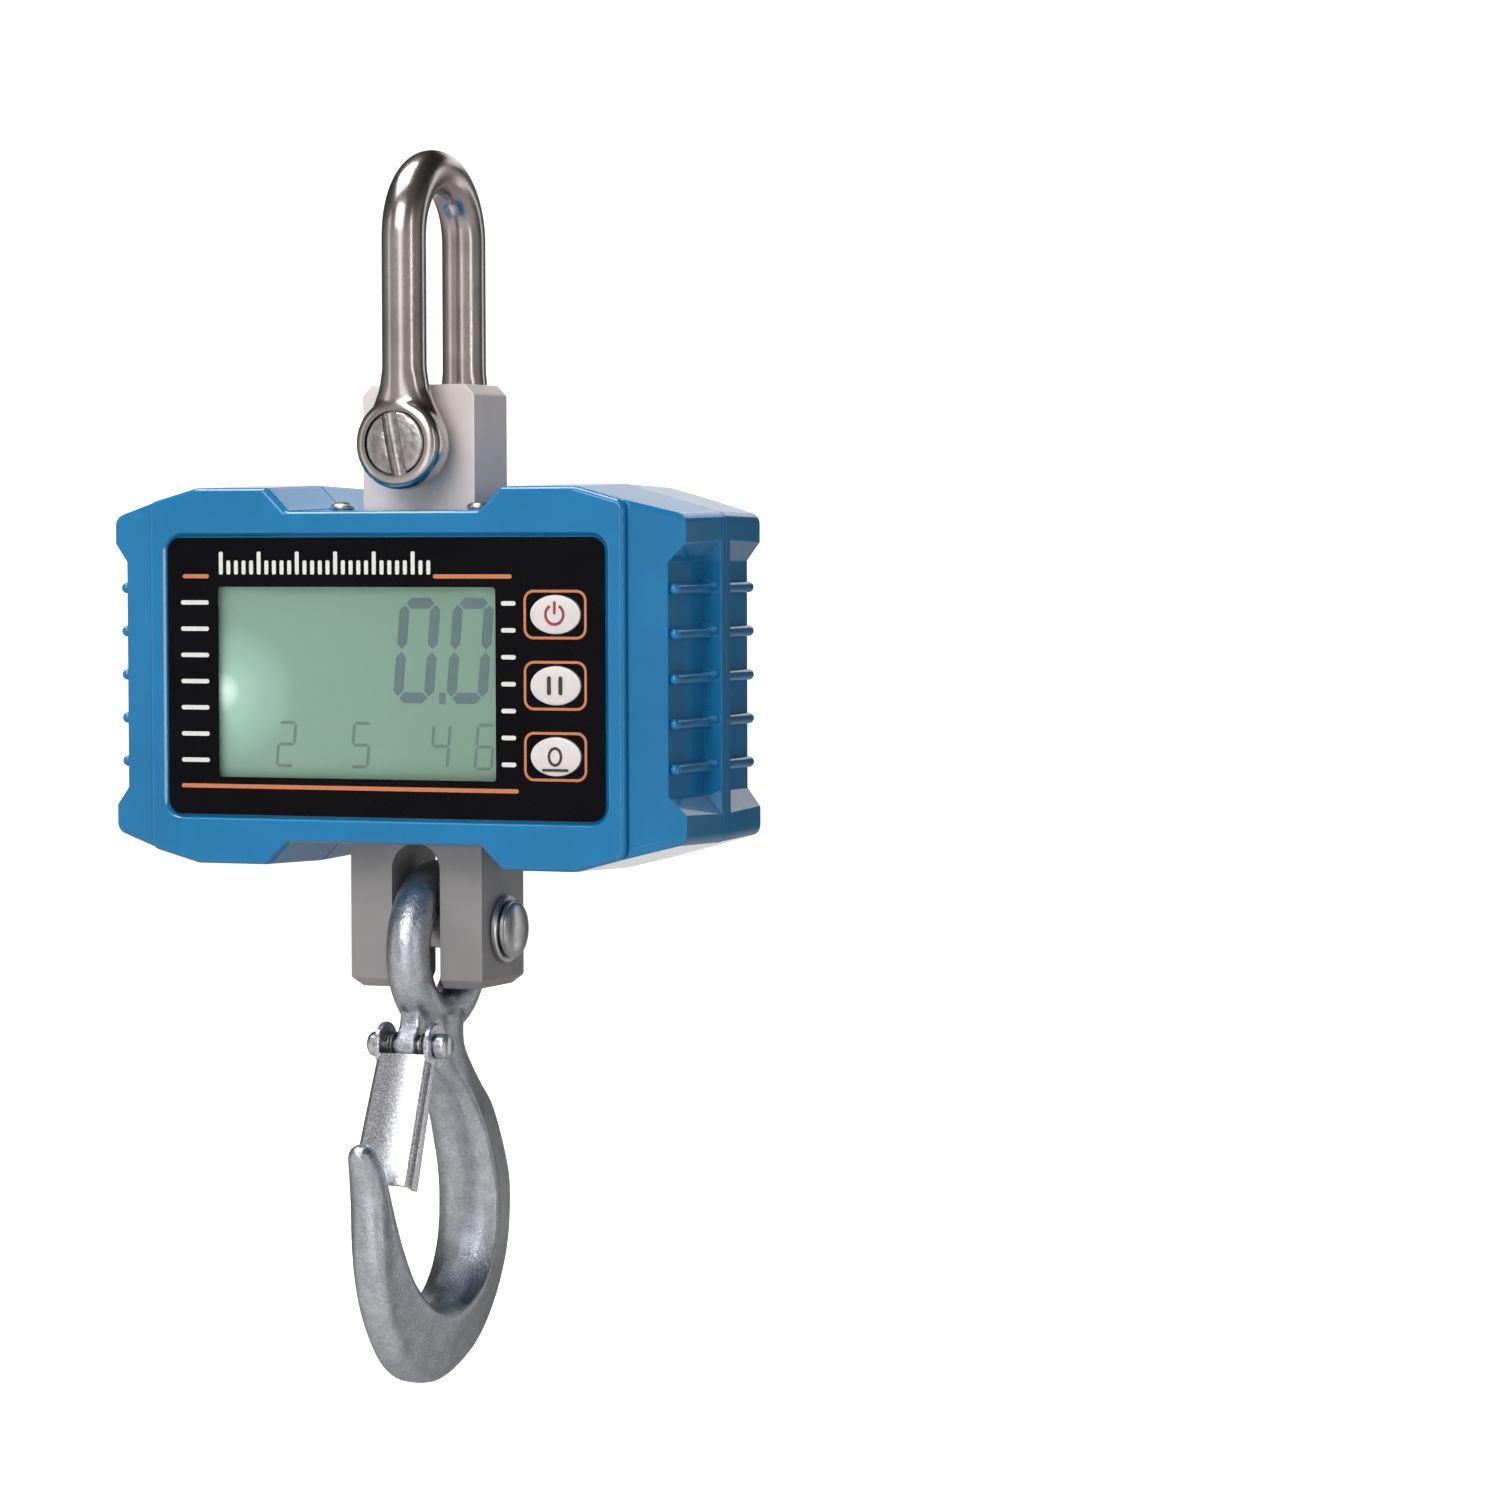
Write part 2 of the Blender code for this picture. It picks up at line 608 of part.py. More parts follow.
def make_latch(parent, sheet_metal):
    """A bent sheet channel: a tapered face, two flanges and two ears on the latch pin.

    Its coordinates are the latch pin's, turned so that -Z runs along the face.
    """
    top_half, low_half = LATCH_HALF_WIDTHS
    top_z, low_z = -3.2 * MM, -LATCH_LENGTH
    front = -LATCH_FACE_OFFSET
    back = front + LATCH_SHEET
    outer = [
        face_ring(top_half, front, front + LATCH_FLANGES[0], top_z),
        face_ring(low_half, front, front + LATCH_FLANGES[1], low_z),
    ]
    latch = add_part("latch", loft(outer), sheet_metal, parent)
    bevel(latch, 1.0 * MM, 2)
    proud = 0.05 * MM
    ear_outer, ear_inner = top_half + proud, top_half - LATCH_SHEET - proud
    ears = [
        rod("X", EAR_RADIUS, ear_inner, ear_outer, segments=20),
        rod("X", EAR_RADIUS, -ear_outer, -ear_inner, segments=20),
    ]
    inner = [
        face_ring(top_half - LATCH_SHEET, back, front + 20 * MM, 9 * MM),
        face_ring(top_half - LATCH_SHEET, back, front + 20 * MM, top_z),
        face_ring(low_half - LATCH_SHEET, back, front + 20 * MM, low_z - 2 * MM),
    ]
    cut(latch, "channel", loft(inner))
    join(latch, "ears", merged(*ears))
    cut(latch, "pin_holes", rod("X", LATCH_PIN_RADIUS + GAP, -20 * MM, 20 * MM, segments=16))
    latch.rotation_euler = (-LATCH_LEAN, 0, 0)
    for modifier in latch.modifiers:
        if modifier.type == "BOOLEAN":
            modifier.object.rotation_euler = (-LATCH_LEAN, 0, 0)


def face_ring(half, front, back, z):
    return [(-half, front, z), (half, front, z), (half, back, z), (-half, back, z)]


def make_latch_pin(parent, metal):
    """A rivet with a button head at each end."""
    shoulder, end = 7.25 * MM, 10.2 * MM
    profile = [
        (1.6 * MM, -end),
        (2.9 * MM, -end + 1.0 * MM),
        (2.9 * MM, -shoulder),
        (LATCH_PIN_RADIUS, -shoulder),
        (LATCH_PIN_RADIUS, shoulder),
        (2.9 * MM, shoulder),
        (2.9 * MM, end - 1.0 * MM),
        (1.6 * MM, end),
    ]
    centre = (0, *LATCH_PIN_YZ)
    add_part("latch_pin", turned("X", profile, centre, 20), metal, parent, smooth=40)


def make_latch_springs(parent, spring_steel):
    """A torsion coil each side of the hook's lug; its long leg pushes the latch's face."""
    wire, coil = 0.4 * MM, 2.55 * MM
    start_x, turns, per_turn = 3.35 * MM, 1.5, 12
    lean = Matrix.Rotation(-LATCH_LEAN, 3, "X")
    for name, side in (("left", -1), ("right", 1)):
        points = []
        steps = int(turns * per_turn)
        for i in range(steps + 1):
            angle = 2 * math.pi * i / per_turn
            x = side * (start_x + 1.2 * MM * i / per_turn)
            points.append(lean @ Vector((x, coil * math.cos(angle), coil * math.sin(angle))))
        foot = Vector((side * start_x, wire + GAP - LATCH_FACE_OFFSET + LATCH_SHEET, -15 * MM))
        points.insert(0, lean @ foot)
        add_part(f"latch_spring_{name}", tube(points, wire, sides=1), spring_steel, parent)


# Case -----------------------------------------------------------------------


def case_ring(y, wall=0.0, side_wall=0.0):
    """The case's outline at a depth, or the outline of its inside when walls are given."""
    depth = abs(y)
    grown = DRAFT * (1 - min(depth / SEAM_Y, 1))
    if depth <= SIDE_Y:
        side = SIDE_X + grown
    else:
        side = SIDE_X - (SIDE_X - SEAM_X) * (depth - SIDE_Y) / (SEAM_Y - SIDE_Y)
    top = LOBE_Z + grown
    corner = top - (side - LOBE_OUTER_X) * SHOULDER_SLOPE
    notch_shift = math.tan(math.radians(22.5)) * wall
    lobe_shift = math.tan(math.atan(SHOULDER_SLOPE) / 2) * wall
    slope_wall = math.hypot(1, SHOULDER_SLOPE) * wall
    upper = [
        (NOTCH_FLOOR_X + notch_shift, NOTCH_Z + grown - wall),
        (NOTCH_TOP_X + notch_shift, top - wall),
        (LOBE_OUTER_X - lobe_shift, top - wall),
        (side - side_wall, corner + side_wall * SHOULDER_SLOPE - slope_wall),
    ]
    lower = [(x, -z) for x, z in reversed(upper)]
    left_lower = [(-x, -z) for x, z in upper]
    left_upper = [(-x, z) for x, z in reversed(upper)]
    return [(x, y, z) for x, z in upper + lower + left_lower + left_upper]


def block_opening(half_x, half_y, low_z, high_z):
    clear = 0.8 * MM
    return box((-half_x - clear, -half_y - clear, low_z), (half_x + clear, half_y + clear, high_z))


def recess_cutters(side_y):
    """The shallow recess at each end of a shell, open to its front or back."""
    low = RECESS_HALF_HEIGHT
    far, high = RECESS_MOUTH
    ys = sorted((side_y * FLANGE_Y, side_y * 40 * MM))
    outline = [(RECESS_X, -low), (far, -high), (far, high), (RECESS_X, low)]
    mirrored = [(-x, z) for x, z in reversed(outline)]
    return merged(slab(outline, *ys), slab(mirrored, *ys))


def rib_bars(side_y):
    """Round-edged ribs across each recess."""
    ys = sorted((side_y * (FLANGE_Y - MM), side_y * 21.6 * MM))
    bars = []
    for index in range(RIB_COUNT):
        z = (index - (RIB_COUNT - 1) / 2) * RIB_PITCH
        nose = arc((RIB_X - RIB_RADIUS, z), RIB_RADIUS, -90, 90, 4)
        right = [(RECESS_X - MM, z - RIB_RADIUS), *nose, (RECESS_X - MM, z + RIB_RADIUS)]
        bars.append(slab(right, *ys))
        bars.append(slab([(-x, z_at) for x, z_at in reversed(right)], *ys))
    return merged(*bars)


def screw_blocks(side_y, outward, end_y):
    """Corner blocks inside a shell that the long case screws run through."""
    x, z = CASE_SCREW_XZ
    ys = sorted((side_y * PARTING_GAP, side_y * end_y))
    blocks = []
    for sx in (-1, 1):
        for sz in (-1, 1):
            xs = sorted((sx * (x - 3.6 * MM), sx * (x + outward)))
            zs = sorted((sz * (z - 3.8 * MM), sz * (z + 3.6 * MM)))
            blocks.append(box((xs[0], ys[0], zs[0]), (xs[1], ys[1], zs[1])))
    return merged(*blocks)


def case_screw_places():
    x, z = CASE_SCREW_XZ
    return [(sx * x, sz * z) for sx in (-1, 1) for sz in (-1, 1)]


def top_screw_holes():
    x, y = TOP_SCREW_XY
    return [
        rod("Z", 1.8 * MM, 30 * MM, 45 * MM, (sx * x, sy * y, 0), 12)
        for sx in (-1, 1)
        for sy in (-1, 1)
    ]


def gasket_outline(side, outset, inset, end_x):
    """A strip that follows the case wall from the top opening to the bottom one."""
    def half_path(step):
        right = [(x, z) for x, _, z in case_ring(0, step, step)[:8]]
        return [(end_x, right[0][1]), *right, (end_x, right[-1][1])]

    path = half_path(outset) + list(reversed(half_path(inset)))
    return [(side * x, z) for x, z in path]


def gasket_grooves():
    """Grooves for the two sealing strips, across the parting plane."""
    strips = [
        slab(gasket_outline(side, 0.7 * MM, 2.0 * MM, 18.2 * MM), -1.0 * MM, 1.0 * MM)
        for side in (-1, 1)
    ]
    return merged(*strips)


def make_shell(name, side_y, parent, paint):
    """Half of the case: side_y is -1 for the front shell and +1 for the rear shell."""
    ys = [PARTING_GAP, SIDE_Y, SEAM_Y - (PARTING_GAP if side_y < 0 else 0)]
    shell = add_part(name, loft([case_ring(side_y * y) for y in ys]), paint, parent, smooth=25)
    bevel(shell, 0.8 * MM, 1, 18)
    cavity = [case_ring(side_y * y, WALL, SIDE_WALL) for y in (-1 * MM, SIDE_Y - WALL)]
    cavity += [case_ring(side_y * SIDE_Y, WALL, SIDE_WALL)]
    cavity[-1] = [(x, side_y * INNER_Y, z) for x, _, z in cavity[-1]]
    cut(shell, "cavity", loft(cavity))
    cut(shell, "side_recess", recess_cutters(side_y))
    join(shell, "ribs", rib_bars(side_y))
    join(shell, "screw_blocks", screw_blocks(side_y, 5.5 * MM, 22.4 * MM))
    return shell


def finish_shell(shell):
    openings = [
        block_opening(*LUG_HALF, 30 * MM, 50 * MM),
        block_opening(*CLEVIS_HALF, -50 * MM, -30 * MM),
    ]
    cut(shell, "block_openings", merged(*openings))
    cut(shell, "top_screw_holes", merged(*top_screw_holes()))
    cut(shell, "gasket_grooves", gasket_grooves())


def make_front_shell(parent, paint):
    shell = make_shell("front_shell", -1, parent, paint)
    finish_shell(shell)
    window = (PLUG_SIZE[0] + 2 * GAP, PLUG_SIZE[1] + 2 * GAP)
    outline = rounded_rectangle(window, PANEL_RADIUS)
    cut(shell, "cover_window", slab(outline, -40 * MM, -20 * MM))
    holes = [
        rod("Y", 1.8 * MM, -18 * MM, 5 * MM, (x, 0, z), 12) for x, z in case_screw_places()
    ]
    cut(shell, "case_screw_holes", merged(*holes))


def make_rear_shell(parent, paint):
    shell = make_shell("rear_shell", 1, parent, paint)
    finish_shell(shell)
    join(shell, "screw_seats", screw_blocks(1, 3.2 * MM, 24.0 * MM))
    holes = [
        rod("Y", 1.8 * MM, -5 * MM, 30 * MM, (x, 0, z), 12) for x, z in case_screw_places()
    ]
    cut(shell, "case_screw_holes", merged(*holes))
    heads = [
        rod("Y", 3.1 * MM, CASE_SCREW_HEAD_Y - GAP, 40 * MM, (x, 0, z), 20)
        for x, z in case_screw_places()
    ]
    cut(shell, "head_bores", merged(*heads))
    bosses = [
        rod("Y", 3.0 * MM, 18 * MM, 24 * MM, (side * DOOR_SCREW_X, 0, 0), 16) for side in (-1, 1)
    ]
    join(shell, "door_bosses", merged(*bosses))
    bay = (2 * TRAY_HALF[0] + 0.6 * MM, 2 * TRAY_HALF[1] - 3 * MM)
    cut(shell, "battery_bay", slab(rounded_rectangle(bay, 1.5 * MM), 20 * MM, 40 * MM))
    rebate = (DOOR_SIZE[0] + 2 * GAP, DOOR_SIZE[1] + 2 * GAP)
    rebate_outline = rounded_rectangle(rebate, 3.3 * MM)
    cut(shell, "door_rebate", slab(rebate_outline, SEAM_Y - DOOR_THICKNESS - GAP, 40 * MM))
    pilots = [
        rod("Y", 1.5 * MM, 19 * MM, 40 * MM, (side * DOOR_SCREW_X, 0, 0), 12) for side in (-1, 1)
    ]
    cut(shell, "door_screw_holes", merged(*pilots))


def cover_outline():
    """The flat front outline of the case, a little inside the seam."""
    ring = case_ring(SEAM_Y)
    return [(x - math.copysign(0.25 * MM, x) if abs(x) > SEAM_X - MM else x, z) for x, _, z in ring]


def make_front_cover(parent, paint):
    """The front plate, with a plug behind it that fills the shell's window."""
    rim_back = -SEAM_Y - PARTING_GAP
    outline = slab(cover_outline(), COVER_FRONT_Y, rim_back)
    cover = add_part("front_cover", outline, paint, parent, smooth=25)
    bevel(cover, 0.8 * MM, 1)
    plug = rounded_rectangle(PLUG_SIZE, PANEL_RADIUS)
    join(cover, "plug", slab(plug, COVER_FRONT_Y + 0.5 * MM, PLUG_BACK_Y))
    pocket = (PANEL_SIZE[0] + 2 * GAP, PANEL_SIZE[1] + 2 * GAP)
    pocket_outline = rounded_rectangle(pocket, PANEL_RADIUS + GAP)
    cut(cover, "panel_pocket", slab(pocket_outline, -40 * MM, POCKET_Y))
    lens_pocket = (DISPLAY_SIZE[0] + 6.6 * MM, DISPLAY_SIZE[1] + 6.6 * MM)
    lens_outline = rounded_rectangle(lens_pocket, 1.5 * MM, DISPLAY_CENTRE)
    cut(cover, "lens_pocket", slab(lens_outline, -40 * MM, POCKET_Y + 1.3 * MM))
    opening = (DISPLAY_SIZE[0] + 2.4 * MM, DISPLAY_SIZE[1] + 2.6 * MM)
    opening_outline = rounded_rectangle(opening, 1.0 * MM, DISPLAY_CENTRE)
    cut(cover, "display_opening", slab(opening_outline, -40 * MM, -10 * MM))
    key_hole = (KEY_SIZE[0] + 0.9 * MM, KEY_SIZE[1] + 0.9 * MM)
    holes = [slab(ellipse(key_hole, (KEY_X, z), 24), -40 * MM, -10 * MM) for z in KEY_ZS]
    cut(cover, "key_holes", merged(*holes))


def make_gaskets(parent, rubber):
    for name, side in (("left", -1), ("right", 1)):
        outline = gasket_outline(side, 0.95 * MM, 1.75 * MM, 18.6 * MM)
        if side < 0:
            outline = list(reversed(outline))
        add_part(f"case_gasket_{name}", slab(outline, -0.7 * MM, 0.7 * MM), rubber, parent)


# Display, keys and electronics ----------------------------------------------


def make_panel(parent, film, clear):
    back = POCKET_Y - GAP
    front = back - PANEL_THICKNESS
    window = rounded_rectangle(DISPLAY_SIZE, 0.8 * MM, DISPLAY_CENTRE)
    key_hole = (KEY_SIZE[0] + 0.6 * MM, KEY_SIZE[1] + 0.6 * MM)
    holes = [window] + [ellipse(key_hole, (KEY_X, z)) for z in KEY_ZS]
    outline = rounded_rectangle(PANEL_SIZE, PANEL_RADIUS)
    add_part("keypad_panel", slab(outline, front, back, holes), film, parent)
    lens_size = (DISPLAY_SIZE[0] + 6.0 * MM, DISPLAY_SIZE[1] + 6.0 * MM)
    lens = rounded_rectangle(lens_size, 1.2 * MM, DISPLAY_CENTRE)
    add_part("display_window", slab(lens, POCKET_Y + 0.05 * MM, POCKET_Y + 0.95 * MM), clear, parent)


def make_keys(parent, white):
    """Oval caps that stand a little proud of the panel, each with a flange behind the cover."""
    for name, z in zip(KEY_NAMES, KEY_ZS):
        place = new_empty(f"{name}_key_centre", (KEY_X, 0, z), parent)
        cap = slab(ellipse(KEY_SIZE), -27.95 * MM, -22.9 * MM)
        key = add_part(f"{name}_key", cap, white, place, smooth=40)
        bevel(key, 0.25 * MM, 2, 50)
        flange = (KEY_SIZE[0] + 3 * MM, KEY_SIZE[1] + 2.4 * MM)
        join(key, "flange", slab(ellipse(flange, steps=24), -23.4 * MM, -22.4 * MM))


def make_electronics(parent, looks):
    centre_x, centre_z = DISPLAY_CENTRE
    half_x, half_z = DISPLAY_SIZE[0] / 2 + 0.9 * MM, DISPLAY_SIZE[1] / 2 + MM
    layers = (
        ("lcd_glass", -25.3 * MM, -23.1 * MM, 0.0, looks["lcd"]),
        ("backlight", -22.8 * MM, -19.6 * MM, 0.6 * MM, looks["white"]),
    )
    for name, front, back, inset, material in layers:
        low = (centre_x - half_x + inset, front, centre_z - half_z + inset)
        high = (centre_x + half_x - inset, back, centre_z + half_z - inset)
        add_part(name, box(low, high), material, parent)
    board_back = BOARD_FRONT_Y + BOARD_THICKNESS
    board_low = (-54 * MM, BOARD_FRONT_Y, -24.8 * MM)
    board_high = (54 * MM, board_back, 24.8 * MM)
    add_part("main_board", box(board_low, board_high), looks["board"], parent)
    for name, z in zip(KEY_NAMES, KEY_ZS):
        low = (KEY_X - 3 * MM, -20.9 * MM, z - 3 * MM)
        high = (KEY_X + 3 * MM, BOARD_FRONT_Y - GAP, z + 3 * MM)
        switch = add_part(f"{name}_switch", box(low, high), looks["dark"], parent)
        plunger = rod("Y", 1.7 * MM, -21.6 * MM, -20 * MM, (KEY_X, 0, z), 12)
        join(switch, "plunger", plunger)


def make_cell_lead(parent, looks):
    """The load cell's lead, from the beam's edge to its socket on the back of the board."""
    board_back = BOARD_FRONT_Y + BOARD_THICKNESS
    socket_x, socket_z = 36 * MM, -12 * MM
    socket_low = (socket_x - 5 * MM, board_back + GAP, socket_z - 3 * MM)
    socket_high = (socket_x + 5 * MM, board_back + 6 * MM, socket_z + 3 * MM)
    add_part("cell_socket", box(socket_low, socket_high), looks["white"], parent)
    start = Vector((CELL_HALF[0] + GAP, 0, 4 * MM))
    end = Vector((socket_x, board_back + 6.6 * MM, socket_z))
    points = []
    for i in range(9):
        t = i / 8
        away = start + Vector((14 * MM, 0, 0)) * t
        home = end + Vector((0, 9 * MM, 0)) * (1 - t)
        blend = t * t * (3 - 2 * t)
        points.append(away.lerp(home, blend))
    add_part("cell_lead", tube(points, 1.4 * MM), looks["dark"], parent, smooth=60)


# Battery bay ----------------------------------------------------------------


def make_battery_bay(parent, looks):
    half_x, half_z = TRAY_HALF
    front, back = TRAY_Y
    wall = 1.2 * MM
    tray = add_part(
        "battery_tray", box((-half_x, front, -half_z), (half_x, back, half_z)), looks["dark"], parent
    )
    inside_low = (-half_x + wall, front + wall, -half_z + wall)
    cut(tray, "bay", box(inside_low, (half_x - wall, 40 * MM, half_z - wall)))
    for index in range(3):
        z = (index - 1) * CELL_PITCH
        half = CELL_LENGTH / 2
        profile = [
            (CELL_RADIUS, -half),
            (CELL_RADIUS, half - 1.4 * MM),
            (2.7 * MM, half - 1.4 * MM),
            (2.7 * MM, half),
        ]
        cell = turned("X", profile, (0, CELL_Y, z), 20)
        add_part(f"battery_{index + 1}", cell, looks["cell"], parent, smooth=40)
    outline = rounded_rectangle(DOOR_SIZE, 3.0 * MM)
    front, back = SEAM_Y - DOOR_THICKNESS, SEAM_Y
    door = add_part("battery_door", slab(outline, front, back), looks["blue"], parent)
    holes = [
        rod("Y", 1.2 * MM, front - MM, back + MM, (side * DOOR_SCREW_X, 0, 0), 16, 3.9 * MM)
        for side in (-1, 1)
    ]
    cut(door, "screw_holes", merged(*holes))
    for name, side in (("left", -1), ("right", 1)):
        centre = (side * DOOR_SCREW_X, 0, 0)
        profile = [
            (1.1 * MM, 20 * MM),
            (1.1 * MM, SEAM_Y - 1.1 * MM),
            (2.3 * MM, SEAM_Y - 0.2 * MM),
        ]
        screw = turned("Y", profile, centre, 16)
        add_part(f"door_screw_{name}", screw, looks["zinc"], parent, smooth=40)


# Screws ---------------------------------------------------------------------


def make_screws(parent, metal):
    """Four low heads beside the lug hold the case to its foot; four long screws join the shells."""
    x, y = TOP_SCREW_XY
    corners = [(sx, sy) for sy in (-1, 1) for sx in (-1, 1)]
    seat = NOTCH_Z + DRAFT
    for index, (sx, sy) in enumerate(corners):
        profile = [
            (1.5 * MM, LUG_FOOT_Z + 0.4 * MM),
            (1.5 * MM, seat),
            (2.8 * MM, seat),
            (2.8 * MM, seat + 0.6 * MM),
            (1.7 * MM, seat + 1.4 * MM),
        ]
        screw = turned("Z", profile, (sx * x, sy * y, 0), 20)
        screw = add_part(f"top_screw_{index + 1}", screw, metal, parent, smooth=40)
        slot = box((-0.4 * MM, -4 * MM, seat + 0.7 * MM), (0.4 * MM, 4 * MM, seat + 4 * MM))
        bmesh.ops.translate(slot, vec=(sx * x, sy * y, 0), verts=slot.verts)
        cut(screw, "slot", slot)
    for index, (screw_x, screw_z) in enumerate(case_screw_places()):
        profile = [
            (1.5 * MM, -16 * MM),
            (1.5 * MM, CASE_SCREW_HEAD_Y),
            (2.75 * MM, CASE_SCREW_HEAD_Y),
            (2.75 * MM, CASE_SCREW_HEAD_Y + 1.4 * MM),
            (2.0 * MM, CASE_SCREW_HEAD_Y + 1.9 * MM),
        ]
        screw = turned("Y", profile, (screw_x, 0, screw_z), 16)
        add_part(f"case_screw_{index + 1}", screw, metal, parent, smooth=40)


# Assembly -------------------------------------------------------------------


def make_looks():
    return {
        "stainless": new_material("stainless", (0.62, 0.60, 0.58), 0.18, 1.0),
        "satin": new_material("satin_steel", (0.72, 0.70, 0.69), 0.45, 0.9),
        "grey": new_material("grey_steel", (0.30, 0.30, 0.31), 0.5, 0.8),
        "zinc": new_material("zinc", (0.52, 0.54, 0.56), 0.35, 1.0),
        "blue": new_material("blue_paint", (0.03, 0.22, 0.52), 0.35, 0.0),
        "film": new_material("black_film", (0.01, 0.01, 0.012), 0.35, 0.0),
        "clear": new_material("clear_window", (0.75, 0.85, 0.8), 0.1, 0.0),
        "lcd": new_material("lcd", (0.26, 0.4, 0.32), 0.4, 0.0),
        "white": new_material("white_plastic", (0.8, 0.8, 0.8), 0.45, 0.0),
        "board": new_material("circuit_board", (0.02, 0.15, 0.07), 0.5, 0.0),
        "dark": new_material("dark_plastic", (0.03, 0.03, 0.03), 0.5, 0.0),
        "rubber": new_material("rubber", (0.02, 0.02, 0.02), 0.8, 0.0),
        "cell": new_material("battery_cell", (0.1, 0.1, 0.1), 0.4, 0.3),
    }


def main():
    looks = make_looks()
    scale_pivot = new_empty("scale_pivot", (0, 0, SHACKLE_PIN_Z))
    case_centre = new_empty("case_centre", (0, 0, CASE_Z - SHACKLE_PIN_Z), scale_pivot)
    hook_pivot = new_empty("hook_pivot", (0, 0, HOOK_PIN_DROP), case_centre)
    latch_pivot = new_empty("latch_pivot", (0, *LATCH_PIN_YZ), hook_pivot)
    shackle_pin_place = new_empty("shackle_pin_place", (0, 0, SHACKLE_PIN_Z))

    make_shackle(shackle_pin_place, looks["stainless"])
    make_shackle_pin(shackle_pin_place, looks["stainless"])
    make_upper_lug(case_centre, looks["satin"])
    make_load_cell(case_centre, looks["satin"])
    make_studs_and_nuts(case_centre, looks["zinc"])
    make_lower_clevis(case_centre, looks["grey"])
    make_hook_pin(case_centre, looks["stainless"])
    make_hook(hook_pivot, looks["zinc"])
    make_latch_pin(hook_pivot, looks["zinc"])
    make_latch(latch_pivot, looks["zinc"])
    make_latch_springs(latch_pivot, looks["zinc"])
    make_front_cover(case_centre, looks["blue"])
    make_front_shell(case_centre, looks["blue"])
    make_rear_shell(case_centre, looks["blue"])
    make_gaskets(case_centre, looks["rubber"])
    make_panel(case_centre, looks["film"], looks["clear"])
    make_keys(case_centre, looks["white"])
    make_electronics(case_centre, looks)
    make_cell_lead(case_centre, looks)
    make_battery_bay(case_centre, looks)
    make_screws(case_centre, looks["zinc"])


clear_scene()
PARTS = new_collection("crane_scale")
CUTTERS = new_collection("cutters")
main()
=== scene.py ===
"""The looks of the hanging crane scale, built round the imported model."""

import json
import math

import bmesh
import bpy
from mathutils import Matrix, Vector

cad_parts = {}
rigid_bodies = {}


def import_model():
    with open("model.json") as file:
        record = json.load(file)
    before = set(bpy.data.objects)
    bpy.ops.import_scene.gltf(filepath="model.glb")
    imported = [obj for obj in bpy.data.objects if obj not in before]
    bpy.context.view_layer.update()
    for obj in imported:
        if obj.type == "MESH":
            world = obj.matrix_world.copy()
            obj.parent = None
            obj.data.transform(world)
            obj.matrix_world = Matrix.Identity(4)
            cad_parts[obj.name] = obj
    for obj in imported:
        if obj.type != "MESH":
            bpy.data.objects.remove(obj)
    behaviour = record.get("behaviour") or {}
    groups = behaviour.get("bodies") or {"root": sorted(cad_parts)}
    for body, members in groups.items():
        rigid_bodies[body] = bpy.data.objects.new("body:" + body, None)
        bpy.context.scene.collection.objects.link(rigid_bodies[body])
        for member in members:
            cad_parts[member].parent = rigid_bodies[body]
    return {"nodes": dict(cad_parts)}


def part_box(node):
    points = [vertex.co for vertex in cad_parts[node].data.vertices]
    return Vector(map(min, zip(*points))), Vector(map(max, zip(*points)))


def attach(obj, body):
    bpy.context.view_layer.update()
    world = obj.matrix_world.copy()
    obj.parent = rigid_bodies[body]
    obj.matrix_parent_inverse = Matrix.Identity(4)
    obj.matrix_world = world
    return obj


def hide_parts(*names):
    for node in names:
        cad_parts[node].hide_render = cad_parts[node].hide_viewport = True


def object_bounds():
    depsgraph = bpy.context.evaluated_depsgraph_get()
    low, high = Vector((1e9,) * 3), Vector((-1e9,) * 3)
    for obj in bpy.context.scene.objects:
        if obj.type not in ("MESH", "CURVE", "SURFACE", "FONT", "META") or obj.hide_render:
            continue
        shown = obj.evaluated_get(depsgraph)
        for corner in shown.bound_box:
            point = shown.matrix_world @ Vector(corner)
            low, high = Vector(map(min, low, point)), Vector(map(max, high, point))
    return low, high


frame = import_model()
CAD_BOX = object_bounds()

MM = 0.001


def mm(*values):
    """Millimetres as metres."""
    return tuple(value * MM for value in values)


def middle(node):
    """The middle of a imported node's box."""
    low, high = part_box(node)
    return (low + high) / 2


# Air between pieces, the distance at which points are merged, and the widest smoothing
# angle, in degrees, of a piece whose flat faces are to look flat
GAP = 0.3 * MM
WELD = 0.0005 * MM
HARD_SURFACE = 40

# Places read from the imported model
CASE = Vector((0, 0, middle("rear_shell").z))
SEAM_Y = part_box("rear_shell")[1].y
SHACKLE_PIN = Vector((0, 0, middle("shackle_pin").z))
HOOK_PIN = Vector((0, 0, middle("hook_pin").z))
LATCH_PIN = middle("latch_pin")
PANEL_LOW, PANEL_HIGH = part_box("keypad_panel")
PANEL_FRONT = PANEL_LOW.y
COVER_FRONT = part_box("front_cover")[0].y
COVER_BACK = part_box("front_cover")[1].y

# Camera: it stands to the right of the front and looks slightly down
CAMERA_PLACE = (0.51056, -1.04134, -0.0782)
CAMERA_YAW = math.radians(22.55)
CAMERA_DOWN = math.radians(2.45)
CAMERA_ROLL = math.radians(-0.15)
CAMERA_LENS = 120.64

# Case outline at a depth: (X, Z) of one quarter's corners and each corner's rounding
SIDE_X = 71.77 * MM
SEAM_X = 60.0 * MM
SEAM_GAP = 0.15 * MM
SIDE_Y = 21.4 * MM
DRAFT = 0.7 * MM
LOBE_Z = 42.9 * MM
LOBE_OUTER_X = 47.5 * MM
NOTCH_TOP_X = 29.6 * MM
NOTCH_FLOOR_X = 24.3 * MM
NOTCH_Z = 37.6 * MM
SHOULDER_SLOPE = 0.272
CORNER_RADII = mm(1.6, 1.6, 4.0, 2.6)

